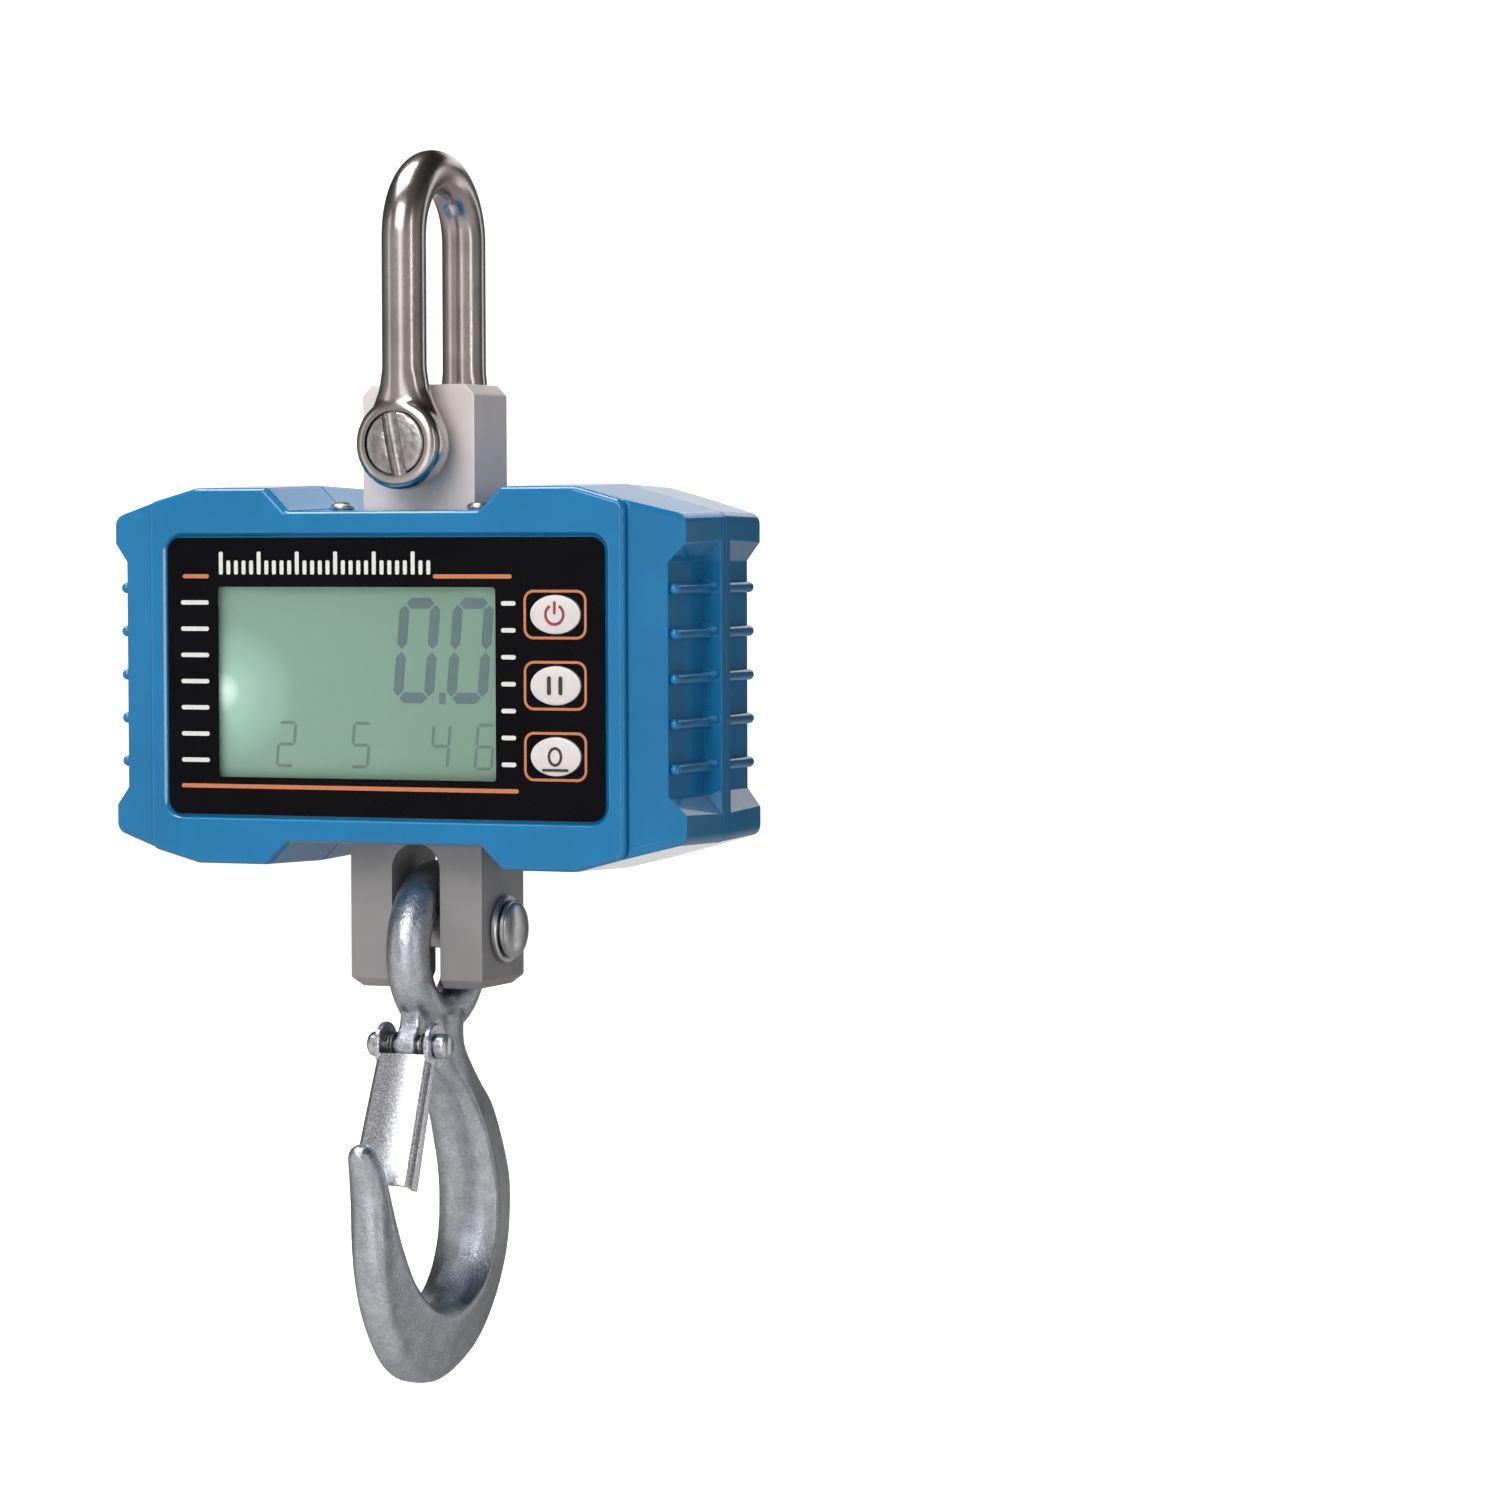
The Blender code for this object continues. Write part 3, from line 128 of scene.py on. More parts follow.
# Case walls, recessed ends, flange and ribs
WALL = 2.6 * MM
SIDE_WALL = 6.6 * MM
INNER_Y = 23.5 * MM
RECESS_X = 68.1 * MM
RECESS_HALF_HEIGHT = 26.0 * MM
FLANGE_Y = 2.6 * MM
RIB_PITCH = 10.0 * MM
RIB_X = 70.3 * MM
RIB_RADIUS = 1.25 * MM
RIB_ENDS_Y = mm(2.0, 22.4)

# Panel
PANEL_SIZE = (PANEL_HIGH.x - PANEL_LOW.x, PANEL_HIGH.z - PANEL_LOW.z)
PANEL_RADIUS = 3.2 * MM
DISPLAY_CENTRE = mm(-6.9, -1.3)
DISPLAY_SIZE = mm(70.2, 43.4)
KEY_X = 42.85 * MM
KEY_ZS = mm(14.35, -1.45, -17.25)
KEY_NAMES = ("power", "hold", "tare")
KEY_SIZE = mm(12.4, 8.75)
KEY_FRAME = mm(15.4, 11.0)
INK = 0.04 * MM

# Load path
LUG_HALF = mm(14.2, 8.75)
CLEVIS_HALF = mm(16.7, 11.25)
SLOT_HALF = 6.1 * MM
BOW_RADIUS = 15.6 * MM
ROD_RADIUS = 5.1 * MM
PIN_BORE = 5.1 * MM
LATCH_BORE = 2.3 * MM


# ---- Mesh tools


def linked(name, data):
    made = bpy.data.objects.new(name, data)
    bpy.context.scene.collection.objects.link(made)
    return made


def mesh_of(bm, name):
    mesh = bpy.data.meshes.new(name)
    bm.to_mesh(mesh)
    bm.free()
    return mesh


def temporary(bm, name="temporary"):
    return linked(name, mesh_of(bm, name))


def baked(made):
    """The evaluated mesh of a temporary object as a bmesh; the object goes."""
    graph = bpy.context.evaluated_depsgraph_get()
    mesh = bpy.data.meshes.new_from_object(made.evaluated_get(graph))
    data = made.data
    bpy.data.objects.remove(made, do_unlink=True)
    if data.users == 0:
        bpy.data.batch_remove([data])
    bm = bmesh.new()
    bm.from_mesh(mesh)
    bpy.data.meshes.remove(mesh)
    return bm


JOIN, CUT = "UNION", "DIFFERENCE"


def carve(bm, *steps):
    """Joins and cuts shapes in turn; a step is JOIN or CUT, then one or more shapes."""
    base = temporary(bm)
    tools = []
    for operation, *shapes in steps:
        for tool in map(temporary, shapes):
            modifier = base.modifiers.new("step", "BOOLEAN")
            modifier.operation = operation
            modifier.solver = "EXACT"
            modifier.object = tool
            tools.append(tool)
    result = baked(base)
    for tool in tools:
        bpy.data.objects.remove(tool, do_unlink=True)
    return result


def modified(bm, *modifiers):
    """A bmesh after modifiers, each a (type, settings) pair."""
    base = temporary(bm)
    for kind, settings in modifiers:
        modifier = base.modifiers.new(kind.lower(), kind)
        for key, value in settings.items():
            setattr(modifier, key, value)
    return baked(base)


def rounded(bm, width, segments=3, angle=28):
    """Rounds every edge that turns by more than the angle."""
    settings = {
        "width": width,
        "segments": segments,
        "limit_method": "ANGLE",
        "angle_limit": math.radians(angle),
        "miter_outer": "MITER_ARC",
    }
    return modified(bm, ("BEVEL", settings))


def flowed(bm, voxel, passes):
    """One skin over joined shapes, with its creases softened."""
    remesh = {"mode": "VOXEL", "voxel_size": voxel, "adaptivity": 0.0}
    return modified(bm, ("REMESH", remesh), ("SMOOTH", {"factor": 0.5, "iterations": passes}))


def box(low, high):
    low, high = Vector(low), Vector(high)
    bm = bmesh.new()
    bmesh.ops.create_cube(bm, size=1.0)
    bmesh.ops.scale(bm, vec=high - low, verts=bm.verts)
    bmesh.ops.translate(bm, vec=(low + high) / 2, verts=bm.verts)
    return bm


def merged(*shapes):
    bm = bmesh.new()
    for shape in shapes:
        mesh = mesh_of(shape, "shape")
        bm.from_mesh(mesh)
        bpy.data.meshes.remove(mesh)
    return bm


def moved(bm, place):
    bmesh.ops.translate(bm, vec=place, verts=bm.verts)
    return bm


def turned_by(bm, degrees, axis, centre=(0, 0, 0)):
    turn = Matrix.Rotation(math.radians(degrees), 3, axis)
    bmesh.ops.rotate(bm, cent=centre, matrix=turn, verts=bm.verts)
    return bm


AXIS_TURNS = {
    "X": Matrix.Rotation(math.radians(90), 3, "Y"),
    "Y": Matrix.Rotation(math.radians(-90), 3, "X"),
    "Z": Matrix.Identity(3),
}


def loft(rings, closed=False):
    """A solid through rings of points; closed joins the last ring to the first."""
    bm = bmesh.new()
    made = [[bm.verts.new(point) for point in ring] for ring in rings]
    count = len(rings[0])
    pairs = list(zip(made, made[1:]))
    if closed:
        pairs.append((made[-1], made[0]))
    for near, far in pairs:
        for i in range(count):
            j = (i + 1) % count
            bm.faces.new((near[i], near[j], far[j], far[i]))
    if not closed:
        bm.faces.new(list(reversed(made[0])))
        bm.faces.new(made[-1])
    bmesh.ops.recalc_face_normals(bm, faces=bm.faces)
    return bm


def turned(axis, profile, centre=(0, 0, 0), steps=64):
    """A solid of revolution: profile is (radius, place along the axis), from end to end."""
    points = [(0, profile[0][1]), *profile, (0, profile[-1][1])]
    mesh = bpy.data.meshes.new("profile")
    edges = [(i, i + 1) for i in range(len(points) - 1)]
    mesh.from_pydata([(radius, 0, place) for radius, place in points], edges, [])
    made = linked("profile", mesh)
    screw = made.modifiers.new("turn", "SCREW")
    screw.steps = screw.render_steps = steps
    screw.use_merge_vertices = True
    screw.merge_threshold = WELD
    bm = baked(made)
    bmesh.ops.rotate(bm, matrix=AXIS_TURNS[axis], verts=bm.verts)
    bmesh.ops.translate(bm, vec=centre, verts=bm.verts)
    bmesh.ops.remove_doubles(bm, verts=bm.verts, dist=WELD)
    bmesh.ops.recalc_face_normals(bm, faces=bm.faces)
    return bm


def rod(axis, radius, start, end, centre=(0, 0, 0), steps=48):
    return turned(axis, [(radius, start), (radius, end)], centre, steps)


def bore(axis, radius, reach, centre=(0, 0, 0)):
    """The step that drills a hole right through, reaching both ways from its centre."""
    return (CUT, rod(axis, radius, -reach, reach, centre))


def from_face(face, *pairs):
    """Profile points from (radius, distance beyond a face) in millimetres."""
    return [(radius * MM, face + beyond * MM) for radius, beyond in pairs]


ACROSS = Vector((1, 0, 0))


def round_ring(centre, outward, radius, count):
    """Points round a centre, in the plane of X and an outward direction."""
    ring = []
    for k in range(count):
        angle = 2 * math.pi * k / count
        reach = outward * math.cos(angle) + ACROSS * math.sin(angle)
        ring.append(centre + reach * radius)
    return ring


def arc(centre, radius, start, end, steps):
    angles = [math.radians(start + (end - start) * i / steps) for i in range(steps + 1)]
    return [(centre[0] + radius * math.cos(a), centre[1] + radius * math.sin(a)) for a in angles]


def rounded_outline(points, radii, steps=6):
    """A closed outline with each corner replaced by an arc of its own radius."""
    result = []
    count = len(points)
    for i, radius in enumerate(radii):
        corner = Vector(points[i])
        before = (Vector(points[i - 1]) - corner).normalized()
        after = (Vector(points[(i + 1) % count]) - corner).normalized()
        half_angle = before.angle(after) / 2
        reach = radius / math.tan(half_angle)
        centre = corner + (before + after).normalized() * (radius / math.sin(half_angle))
        start = corner + before * reach - centre
        end = corner + after * reach - centre
        sweep = start.angle_signed(end)
        for step in range(steps + 1):
            spin = Matrix.Rotation(-sweep * step / steps, 2)
            result.append(tuple(centre + spin @ start))
    return result


def rounded_rectangle(size, radius, centre=(0, 0), steps=8):
    half_x = size[0] / 2 - radius
    half_z = size[1] / 2 - radius
    points = []
    for turn, (sx, sz) in enumerate(((1, 1), (-1, 1), (-1, -1), (1, -1))):
        corner = (centre[0] + sx * half_x, centre[1] + sz * half_z)
        points += arc(corner, radius, 90 * turn, 90 * turn + 90, steps)
    return points


def ellipse(size, centre=(0, 0), steps=64):
    turn = [2 * math.pi * i / steps for i in range(steps)]
    half_x, half_z = size[0] / 2, size[1] / 2
    return [(centre[0] + half_x * math.cos(a), centre[1] + half_z * math.sin(a)) for a in turn]


def from_curve(paths, closed, **settings):
    """The mesh of a curve through one or more rows of points."""
    curve = bpy.data.curves.new("path", "CURVE")
    for key, value in settings.items():
        setattr(curve, key, value)
    for points in paths:
        spline = curve.splines.new("POLY")
        spline.points.add(len(points) - 1)
        for point, place in zip(spline.points, points):
            point.co = (*place, 1)
        spline.use_cyclic_u = closed
    bm = baked(linked("path", curve))
    bmesh.ops.remove_doubles(bm, verts=bm.verts, dist=WELD)
    return bm


def grown(size, wider, taller):
    """A size made wider and taller by millimetres."""
    return (size[0] + wider * MM, size[1] + taller * MM)


def slab(outline, y_front, y_back, holes=()):
    """A plate in the XZ plane, measured from the case's centre."""
    paths = [[(x, z, 0) for x, z in points] for points in (outline, *holes)]
    half = (y_back - y_front) / 2
    bm = from_curve(paths, True, dimensions="2D", fill_mode="BOTH", extrude=half)
    bmesh.ops.rotate(bm, matrix=Matrix.Rotation(math.radians(90), 3, "X"), verts=bm.verts)
    bmesh.ops.translate(bm, vec=(0, (y_front + y_back) / 2, 0), verts=bm.verts)
    bmesh.ops.recalc_face_normals(bm, faces=bm.faces)
    return bm


def plate(size, radius, y_front, y_back, centre=(0, 0)):
    return slab(rounded_rectangle(size, radius, centre), y_front, y_back)


def plate_loft(layers):
    """A solid through flat outlines, each given as (outline, y)."""
    return loft([[(x, y, z) for x, z in outline] for outline, y in layers])


def piece(name, bm, look, body, replaces=(), smooth=35):
    """Links a finished piece: it rides on a body and stands for the nodes it replaces."""
    mesh = mesh_of(bm, name)
    made = linked(name, mesh)
    mesh.materials.append(LOOKS[look])
    mesh.shade_smooth()
    mesh.set_sharp_from_angle(angle=math.radians(smooth))
    if smooth <= HARD_SURFACE:
        normals = made.modifiers.new("flat_faces", "WEIGHTED_NORMAL")
        normals.keep_sharp = True
    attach(made, body)
    if replaces:
        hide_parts(*replaces)
    return made


# ---- Materials


def add_node(tree, kind, inputs=None, **settings):
    """A node with its settings; an input is a value or another node's socket."""
    made = tree.nodes.new(kind)
    for key, value in settings.items():
        setattr(made, key, value)
    for key, value in (inputs or {}).items():
        if isinstance(value, bpy.types.NodeSocket):
            tree.links.new(value, made.inputs[key])
        else:
            made.inputs[key].default_value = value
    return made


def add_ramp(tree, factor, stops):
    """A colour ramp of (position, colour) stops."""
    made = add_node(tree, "ShaderNodeValToRGB", {"Fac": factor})
    elements = made.color_ramp.elements
    while len(elements) < len(stops):
        elements.new(0.5)
    for element, (position, colour) in zip(elements, stops):
        element.position = position
        element.color = (*colour, 1.0)
    return made.outputs["Color"]


class Look:
    """A Principled material with a few node shortcuts; textures use object coordinates."""

    def __init__(self, name, roughness=0.5, metallic=0.0, **sockets):
        self.material = bpy.data.materials.new(name)
        self.material.use_nodes = True
        self.links = self.material.node_tree.links
        self.shader = self.material.node_tree.nodes["Principled BSDF"]
        self.shader.inputs["Roughness"].default_value = roughness
        self.shader.inputs["Metallic"].default_value = metallic
        for socket, value in sockets.items():
            self.shader.inputs[socket.replace("_", " ")].default_value = value
        self.place = self.node("ShaderNodeTexCoord").outputs["Object"]

    def node(self, kind, inputs=None, **settings):
        return add_node(self.material.node_tree, kind, inputs, **settings)

    def stretched(self, scale):
        return self.node("ShaderNodeMapping", {"Vector": self.place, "Scale": scale}).outputs[0]

    def noise(self, scale, detail=3.0, vector=None, roughness=0.55):
        inputs = {
            "Vector": vector or self.place,
            "Scale": scale,
            "Detail": detail,
            "Roughness": roughness,
        }
        return self.node("ShaderNodeTexNoise", inputs).outputs["Fac"]

    def cells(self, scale, feature="F1"):
        inputs = {"Vector": self.place, "Scale": scale}
        return self.node("ShaderNodeTexVoronoi", inputs, feature=feature).outputs["Distance"]

    def ramp(self, factor, stops):
        return add_ramp(self.material.node_tree, factor, stops)

    def spread(self, factor, low, high, start=0.3, end=0.7):
        inputs = {"Value": factor, "From Min": start, "From Max": end}
        inputs.update({"To Min": low, "To Max": high})
        return self.node("ShaderNodeMapRange", inputs).outputs["Result"]

    def colour(self, socket):
        self.links.new(socket, self.shader.inputs["Base Color"])

    def rough(self, factor, low, high):
        self.links.new(self.spread(factor, low, high), self.shader.inputs["Roughness"])

    def bump(self, height, strength, depth):
        inputs = {"Height": height, "Strength": strength, "Distance": depth}
        if self.shader.inputs["Normal"].links:
            inputs["Normal"] = self.shader.inputs["Normal"].links[0].from_socket
        made = self.node("ShaderNodeBump", inputs)
        self.links.new(made.outputs["Normal"], self.shader.inputs["Normal"])


def shades(colour, spread):
    """Two stops of a ramp, a little darker and a little lighter than a colour."""
    dark = tuple(channel * (1 - spread) for channel in colour)
    light = tuple(min(1.0, channel * (1 + spread)) for channel in colour)
    return [(0.3, dark), (0.7, light)]


def grainy(name, colour, spread, tint, rough, bumps=(), **sockets):
    """A material of noises: tint (scale, detail), rough (scale, detail, low, high)
    and bumps of (scale, detail, strength, depth in millimetres)."""
    look = Look(name, **sockets)
    look.colour(look.ramp(look.noise(*tint), shades(colour, spread)))
    scale, detail, low, high = rough
    look.rough(look.noise(scale, detail), low, high)
    for scale, detail, strength, depth in bumps:
        look.bump(look.noise(scale, detail), strength, depth * MM)
    return look.material


def blue_paint():
    """Smooth enamel: the clear coat carries all the shine."""
    return grainy(
        "blue_paint",
        (0.004, 0.18, 0.405),
        0.07,
        (55, 4),
        (160, 3, 0.34, 0.48),
        ((1500, 2, 0.12, 0.05), (260, 2, 0.10, 0.12)),
        Specular_IOR_Level=0.05,
        Coat_Weight=1.0,
        Coat_Roughness=0.07,
    )


def polished_steel():
    """The bow: brushed along its legs, a little duller where it bends."""
    look = Look("polished_steel", metallic=1.0)
    look.colour(look.ramp(look.noise(70, 4), shades((0.46, 0.42, 0.405), 0.14)))
    side = look.node("ShaderNodeVectorMath", {0: look.place, 1: (0, 1, 1)}, operation="MULTIPLY")
    bow_centre = (0, 0, ROD_RADIUS - BOW_RADIUS)
    apart = look.node(
        "ShaderNodeVectorMath", {0: side.outputs[0], 1: bow_centre}, operation="DISTANCE"
    )
    dull = look.spread(apart.outputs["Value"], 0.03, 0.0, 10 * MM, 32 * MM)
    shine = look.spread(look.noise(180, 3), 0.20, 0.235)
    total = look.node("ShaderNodeMath", {0: dull, 1: shine}, operation="ADD").outputs[0]
    look.links.new(total, look.shader.inputs["Roughness"])
    look.bump(look.noise(1.0, 3, look.stretched((2600, 2600, 160))), 0.05, 0.015 * MM)
    return look.material


def bright_steel():
    """Turned pins, with hardly a mark."""
    bumps = ((900, 2, 0.08, 0.04),)
    rough = (420, 4, 0.285, 0.35)
    return grainy("bright_steel", (0.52, 0.52, 0.53), 0.10, (240, 3), rough, bumps, metallic=1.0)


def worn_steel():
    """A turned face that tools have marked: uneven patches under a fine grain."""
    bumps = ((560, 3, 0.45, 0.30), (1900, 2, 0.20, 0.05))
    rough = (700, 4, 0.285, 0.38)
    return grainy("worn_steel", (0.39, 0.37, 0.36), 0.30, (520, 4), rough, bumps, metallic=1.0)


def satin_steel(name, colour, low, high, metallic=1.0, grain=(260, 260, 3200)):
    look = Look(name, metallic=metallic)
    look.colour(look.ramp(look.noise(45, 5), shades(colour, 0.10)))
    look.rough(look.noise(120, 5), low, high)
    look.bump(look.noise(1.0, 4, look.stretched(grain)), 0.25, 0.03 * MM)
    return look.material


def cast_zinc():
    """Zinc plate over a forged skin: shiny, hammered grain, with a random mottle and painted
    shade that darkens the grain's hollows.
    """
    look = Look("hook_zinc", metallic=1.0)
    grain = look.noise(1900, 4)
    mottle = look.noise(210, 5, roughness=0.7)
    # Painted shade and mottle: the colour darkens where the hammered grain's bumps sink, mixed
    # with a random mottle
    hollow_shade_and_mottle = look.node("ShaderNodeMath", {0: grain, 1: mottle}, operation="ADD").outputs[0]
    stops = [(0.38, (0.36, 0.38, 0.42)), (0.5, (0.47, 0.49, 0.53)), (0.62, (0.60, 0.625, 0.67))]
    half = look.node("ShaderNodeMath", {0: hollow_shade_and_mottle, 1: 0.5}, operation="MULTIPLY").outputs[0]
    look.colour(look.ramp(half, stops))
    look.rough(mottle, 0.285, 0.37)
    look.bump(grain, 0.6, 0.2 * MM)
    look.bump(look.noise(800, 2), 0.35, 0.22 * MM)
    return look.material


def bright_zinc(name="bright_zinc", colour=(0.60, 0.605, 0.65)):
    bumps = ((1500, 2, 0.16, 0.05),)
    return grainy(name, colour, 0.22, (1500, 4), (900, 4, 0.285, 0.34), bumps, metallic=1.0)


def latch_zinc():
    """Bright plate with a dense, spangled grain."""
    look = Look("latch_zinc", metallic=1.0)
    grain = look.noise(2100, 4)
    stops = [(0.38, (0.44, 0.44, 0.49)), (0.52, (0.62, 0.625, 0.67)), (0.62, (0.86, 0.865, 0.90))]
    look.colour(look.ramp(grain, stops))
    look.rough(look.noise(600, 3), 0.285, 0.33)
    look.bump(grain, 0.16, 0.05 * MM)
    return look.material


def black_film():
    bumps = ((3200, 2, 0.12, 0.01),)
    rough = (200, 3, 0.24, 0.34)
    black = (0.003, 0.0028, 0.004)
    return grainy("black_film", black, 0.2, (90, 3), rough, bumps, Specular_IOR_Level=0.08)


def printed(name, colour):
    return grainy(name, colour, 0.05, (900, 3), (600, 2, 0.4, 0.5))


def display_panel():
    """The reflective display: brightest where its lamp sits at the left edge."""
    look = Look("display_panel", 0.35)
    x, z = DISPLAY_CENTRE
    lamp = CASE + Vector((x - DISPLAY_SIZE[0] / 2, 0, z - 2 * MM))
    apart = look.node("ShaderNodeVectorMath", {0: look.place, 1: lamp}, operation="SUBTRACT")
    flat = look.node(
        "ShaderNodeVectorMath", {0: apart.outputs[0], 1: (1, 0, 1)}, operation="MULTIPLY"
    )
    away = look.node("ShaderNodeVectorMath", {0: flat.outputs[0]}, operation="LENGTH")
    near = look.spread(away.outputs["Value"], 0.0, 1.0, 0.0, 60 * MM)
    cloud = look.spread(look.noise(40, 2), -0.05, 0.05)
    cloudy = look.node("ShaderNodeMath", {0: near, 1: cloud}, operation="ADD")
    stops = [
        (0.0, (0.80, 0.97, 0.90)),
        (0.08, (0.33, 0.50, 0.42)),
        (0.30, (0.195, 0.295, 0.245)),
        (1.0, (0.165, 0.255, 0.20)),
    ]
    colour = look.ramp(cloudy.outputs[0], stops)
    look.colour(colour)
    look.links.new(colour, look.shader.inputs["Emission Color"])
    look.shader.inputs["Emission Strength"].default_value = 0.10
    return look.material


def clear_pane():
    look = Look("clear_pane", 0.06, Transmission_Weight=1.0, IOR=1.1)
    look.colour(look.ramp(look.noise(40, 2), shades((0.93, 0.97, 0.95), 0.01)))
    return look.material


def plastic(name, colour, roughness=0.45, grain=1200):
    rough = (300, 3, roughness - 0.06, roughness + 0.06)
    return grainy(name, colour, 0.05, (150, 3), rough, ((grain, 2, 0.12, 0.03),))


def circuit_board():
    look = Look("circuit_board", 0.35)
    tracks = look.cells(700, "DISTANCE_TO_EDGE")
    look.colour(look.ramp(tracks, [(0.02, (0.03, 0.22, 0.08)), (0.08, (0.008, 0.10, 0.035))]))
    look.bump(tracks, 0.2, 0.03 * MM)
    return look.material


def battery_sleeve():
    look = Look("battery_sleeve", 0.3, Coat_Weight=0.5)
    along = look.node("ShaderNodeSeparateXYZ", {"Vector": look.place}).outputs["X"]
    band = look.spread(along, 0.0, 1.0, 14 * MM, 14.4 * MM)
    look.colour(look.ramp(band, [(0.3, (0.02, 0.02, 0.022)), (0.7, (0.55, 0.32, 0.08))]))
    look.rough(look.noise(500, 2), 0.25, 0.35)
    return look.material


LOOKS = {
    "blue": blue_paint(),
    "polished": polished_steel(),
    "worn": worn_steel(),
    "pin": bright_steel(),
    "lug": satin_steel("lug_steel", (0.76, 0.69, 0.665), 0.36, 0.52, 0.2),
    "clevis": satin_steel("clevis_steel", (0.30, 0.29, 0.29), 0.42, 0.56, 0.3),
    "alloy": satin_steel("cell_alloy", (0.58, 0.58, 0.57), 0.3, 0.42),
    "hook": cast_zinc(),
    "zinc": bright_zinc(),
    "latch": latch_zinc(),
    "dark_steel": bright_zinc("spring_steel", (0.16, 0.16, 0.17)),
    "film": black_film(),
    "white_ink": printed("white_ink", (0.72, 0.72, 0.70)),
    "copper_ink": printed("copper_ink", (0.58, 0.19, 0.075)),
    "red_ink": printed("red_ink", (0.30, 0.035, 0.04)),
    "dark_ink": printed("dark_ink", (0.03, 0.03, 0.035)),
    "segment": printed("segment", (0.095, 0.145, 0.16)),
    "faint_segment": printed("faint_segment", (0.115, 0.18, 0.155)),
    "display": display_panel(),
    "pane": clear_pane(),
    "key": plastic("key_white", (0.70, 0.66, 0.66), 0.35),
    "white": plastic("white_plastic", (0.75, 0.75, 0.73)),
    "dark": plastic("dark_plastic", (0.03, 0.03, 0.032)),
    "rubber": plastic("rubber", (0.02, 0.02, 0.02), 0.75, 700),
    "board": circuit_board(),
    "sleeve": battery_sleeve(),
}


# ---- Shackle


def boss(side, radius, near_round, far_round):
    """A round eye on the front (-1) or rear (+1) leg, rounded near the lug and far from it."""
    inner, outer = mm(10.4, 21.0)
    profile = arc((radius - near_round, inner + near_round), near_round, -90, 0, 10)
    profile += arc((radius - far_round, outer - far_round), far_round, 0, 90, 8)
    return turned("Y", [(r, side * y) for r, y in profile], SHACKLE_PIN)


# Lean of the screw pin's slot, in degrees
SLOT_LEAN = -11
# Height over the pin, half width and half depth of a leg where it widens, in millimetres
LEG_LEVELS = ((24, 4.8, 4.8), (17, 5.15, 5.0), (12.5, 5.9, 5.0), (9, 7.4, 5.0), (5.5, 9.2, 5.0))
LEG_HALF = 5.1


def leg_flare(side, widening):
    """Where a leg widens smoothly into its eye."""
    turn = [2 * math.pi * i / 32 for i in range(32)]
    leg = Vector((0, side * BOW_RADIUS, 0))
    rings = []
    for height, half_x, half_y in LEG_LEVELS:
        half_x = LEG_HALF + (half_x - LEG_HALF) * widening
        spots = [Vector((half_x * math.cos(a), half_y * math.sin(a), height)) for a in turn]
        rings.append([SHACKLE_PIN + spot * MM + leg for spot in spots])
    return loft(rings)


def bow():
    """The bent rod: two legs and a half circle, swept as rings of points."""
    middle = Vector((0, 0, -(BOW_RADIUS - ROD_RADIUS)))
    path = [(SHACKLE_PIN + Vector((0, -BOW_RADIUS, 0)), Vector((0, 1, 0)))]
    for i in range(49):
        angle = math.pi - math.pi * i / 48
        outward = Vector((0, math.cos(angle), math.sin(angle)))
        path.append((middle + outward * BOW_RADIUS, -outward))
    path.append((SHACKLE_PIN + Vector((0, BOW_RADIUS, 0)), Vector((0, -1, 0))))
    return loft([round_ring(centre, inward, ROD_RADIUS, 40) for centre, inward in path])


def make_shackle():
    bosses = (boss(-1, *mm(10.5, 5.0, 2.3)), boss(1, *mm(9.6, 3.0, 4.4)))
    rough = carve(bow(), (JOIN, *bosses, leg_flare(-1, 1.0), leg_flare(1, 0.65)))
    body = flowed(rough, 0.5 * MM, 12)
    seat = rod("Y", 7.55 * MM, -40 * MM, -18.6 * MM, SHACKLE_PIN)
    body = carve(body, (CUT, seat), bore("Y", PIN_BORE, 40 * MM, SHACKLE_PIN))
    piece("shackle_forging", body, "polished", "shackle", ["shackle"], 50)


def make_shackle_pin():
    """The screw pin: a slotted, slightly crowned head in the front eye, threads at the rear."""
    front, back, radius, soft = mm(-21.6, -18.9, 7.25, 0.8)
    flat, crown = radius - soft, 0.35 * MM
    profile = [(share * flat, front + crown * share**2) for share in (0.3, 0.6, 0.85)]
    profile += arc((flat, front + 0.4 * MM + soft), soft, -80, 0, 6)
    shank, root, pitch = mm(4.8, 4.35, 0.75)
    profile += [(radius, back), (shank, back), (shank, 12 * MM)]
    for i in range(11):
        level = 12.4 * MM + pitch * i
        profile += [(root, level), (shank, level + 0.37 * MM)]
    profile.append(mm(4.2, 20.6))
    pin = turned("Y", profile, SHACKLE_PIN)
    half, floor, lip, round_floor = mm(1.9, -19.5, 0.3, 1.7)
    flank = arc((half + lip, front + lip), lip, 270, 180, 5)
    bottom = arc((half - round_floor, floor - round_floor), round_floor, 0, 90, 8)
    right = [(half + lip, front - 2 * MM), *flank, *bottom]
    outline = right + [(-x, y) for x, y in reversed(right)]
    slot = turned_by(slab([(x, -y) for x, y in outline], -9 * MM, 9 * MM), 90, "X")
    turned_by(slot, SLOT_LEAN, "Y")
    pin = carve(pin, (CUT, moved(slot, SHACKLE_PIN)))
    piece("shackle_screw_pin", pin, "worn", "shackle", ["shackle_pin"], 50)


# ---- Load path


def make_lug():
    low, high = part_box("upper_lug")
    half_x, half_y = LUG_HALF
    chamfer = 2.4 * MM
    outline = [
        (-half_x, low.z),
        (half_x, low.z),
        (half_x, high.z - chamfer),
        (half_x - chamfer, high.z),
        (-half_x + chamfer, high.z),
        (-half_x, high.z - chamfer),
    ]
    block = rounded(slab(outline, -half_y, half_y), 0.35 * MM, 2)
    foot = box((low.x, low.y, low.z), (high.x, high.y, low.z + 5.2 * MM))
    stud = rod("Z", 5.3 * MM, low.z - 5 * MM, low.z + 10.3 * MM)
    hole = bore("Y", PIN_BORE, 20 * MM, SHACKLE_PIN)
    lug = carve(block, (JOIN, foot), hole, (CUT, stud))
    piece("lug_block", lug, "lug", "scale", ["upper_lug"])


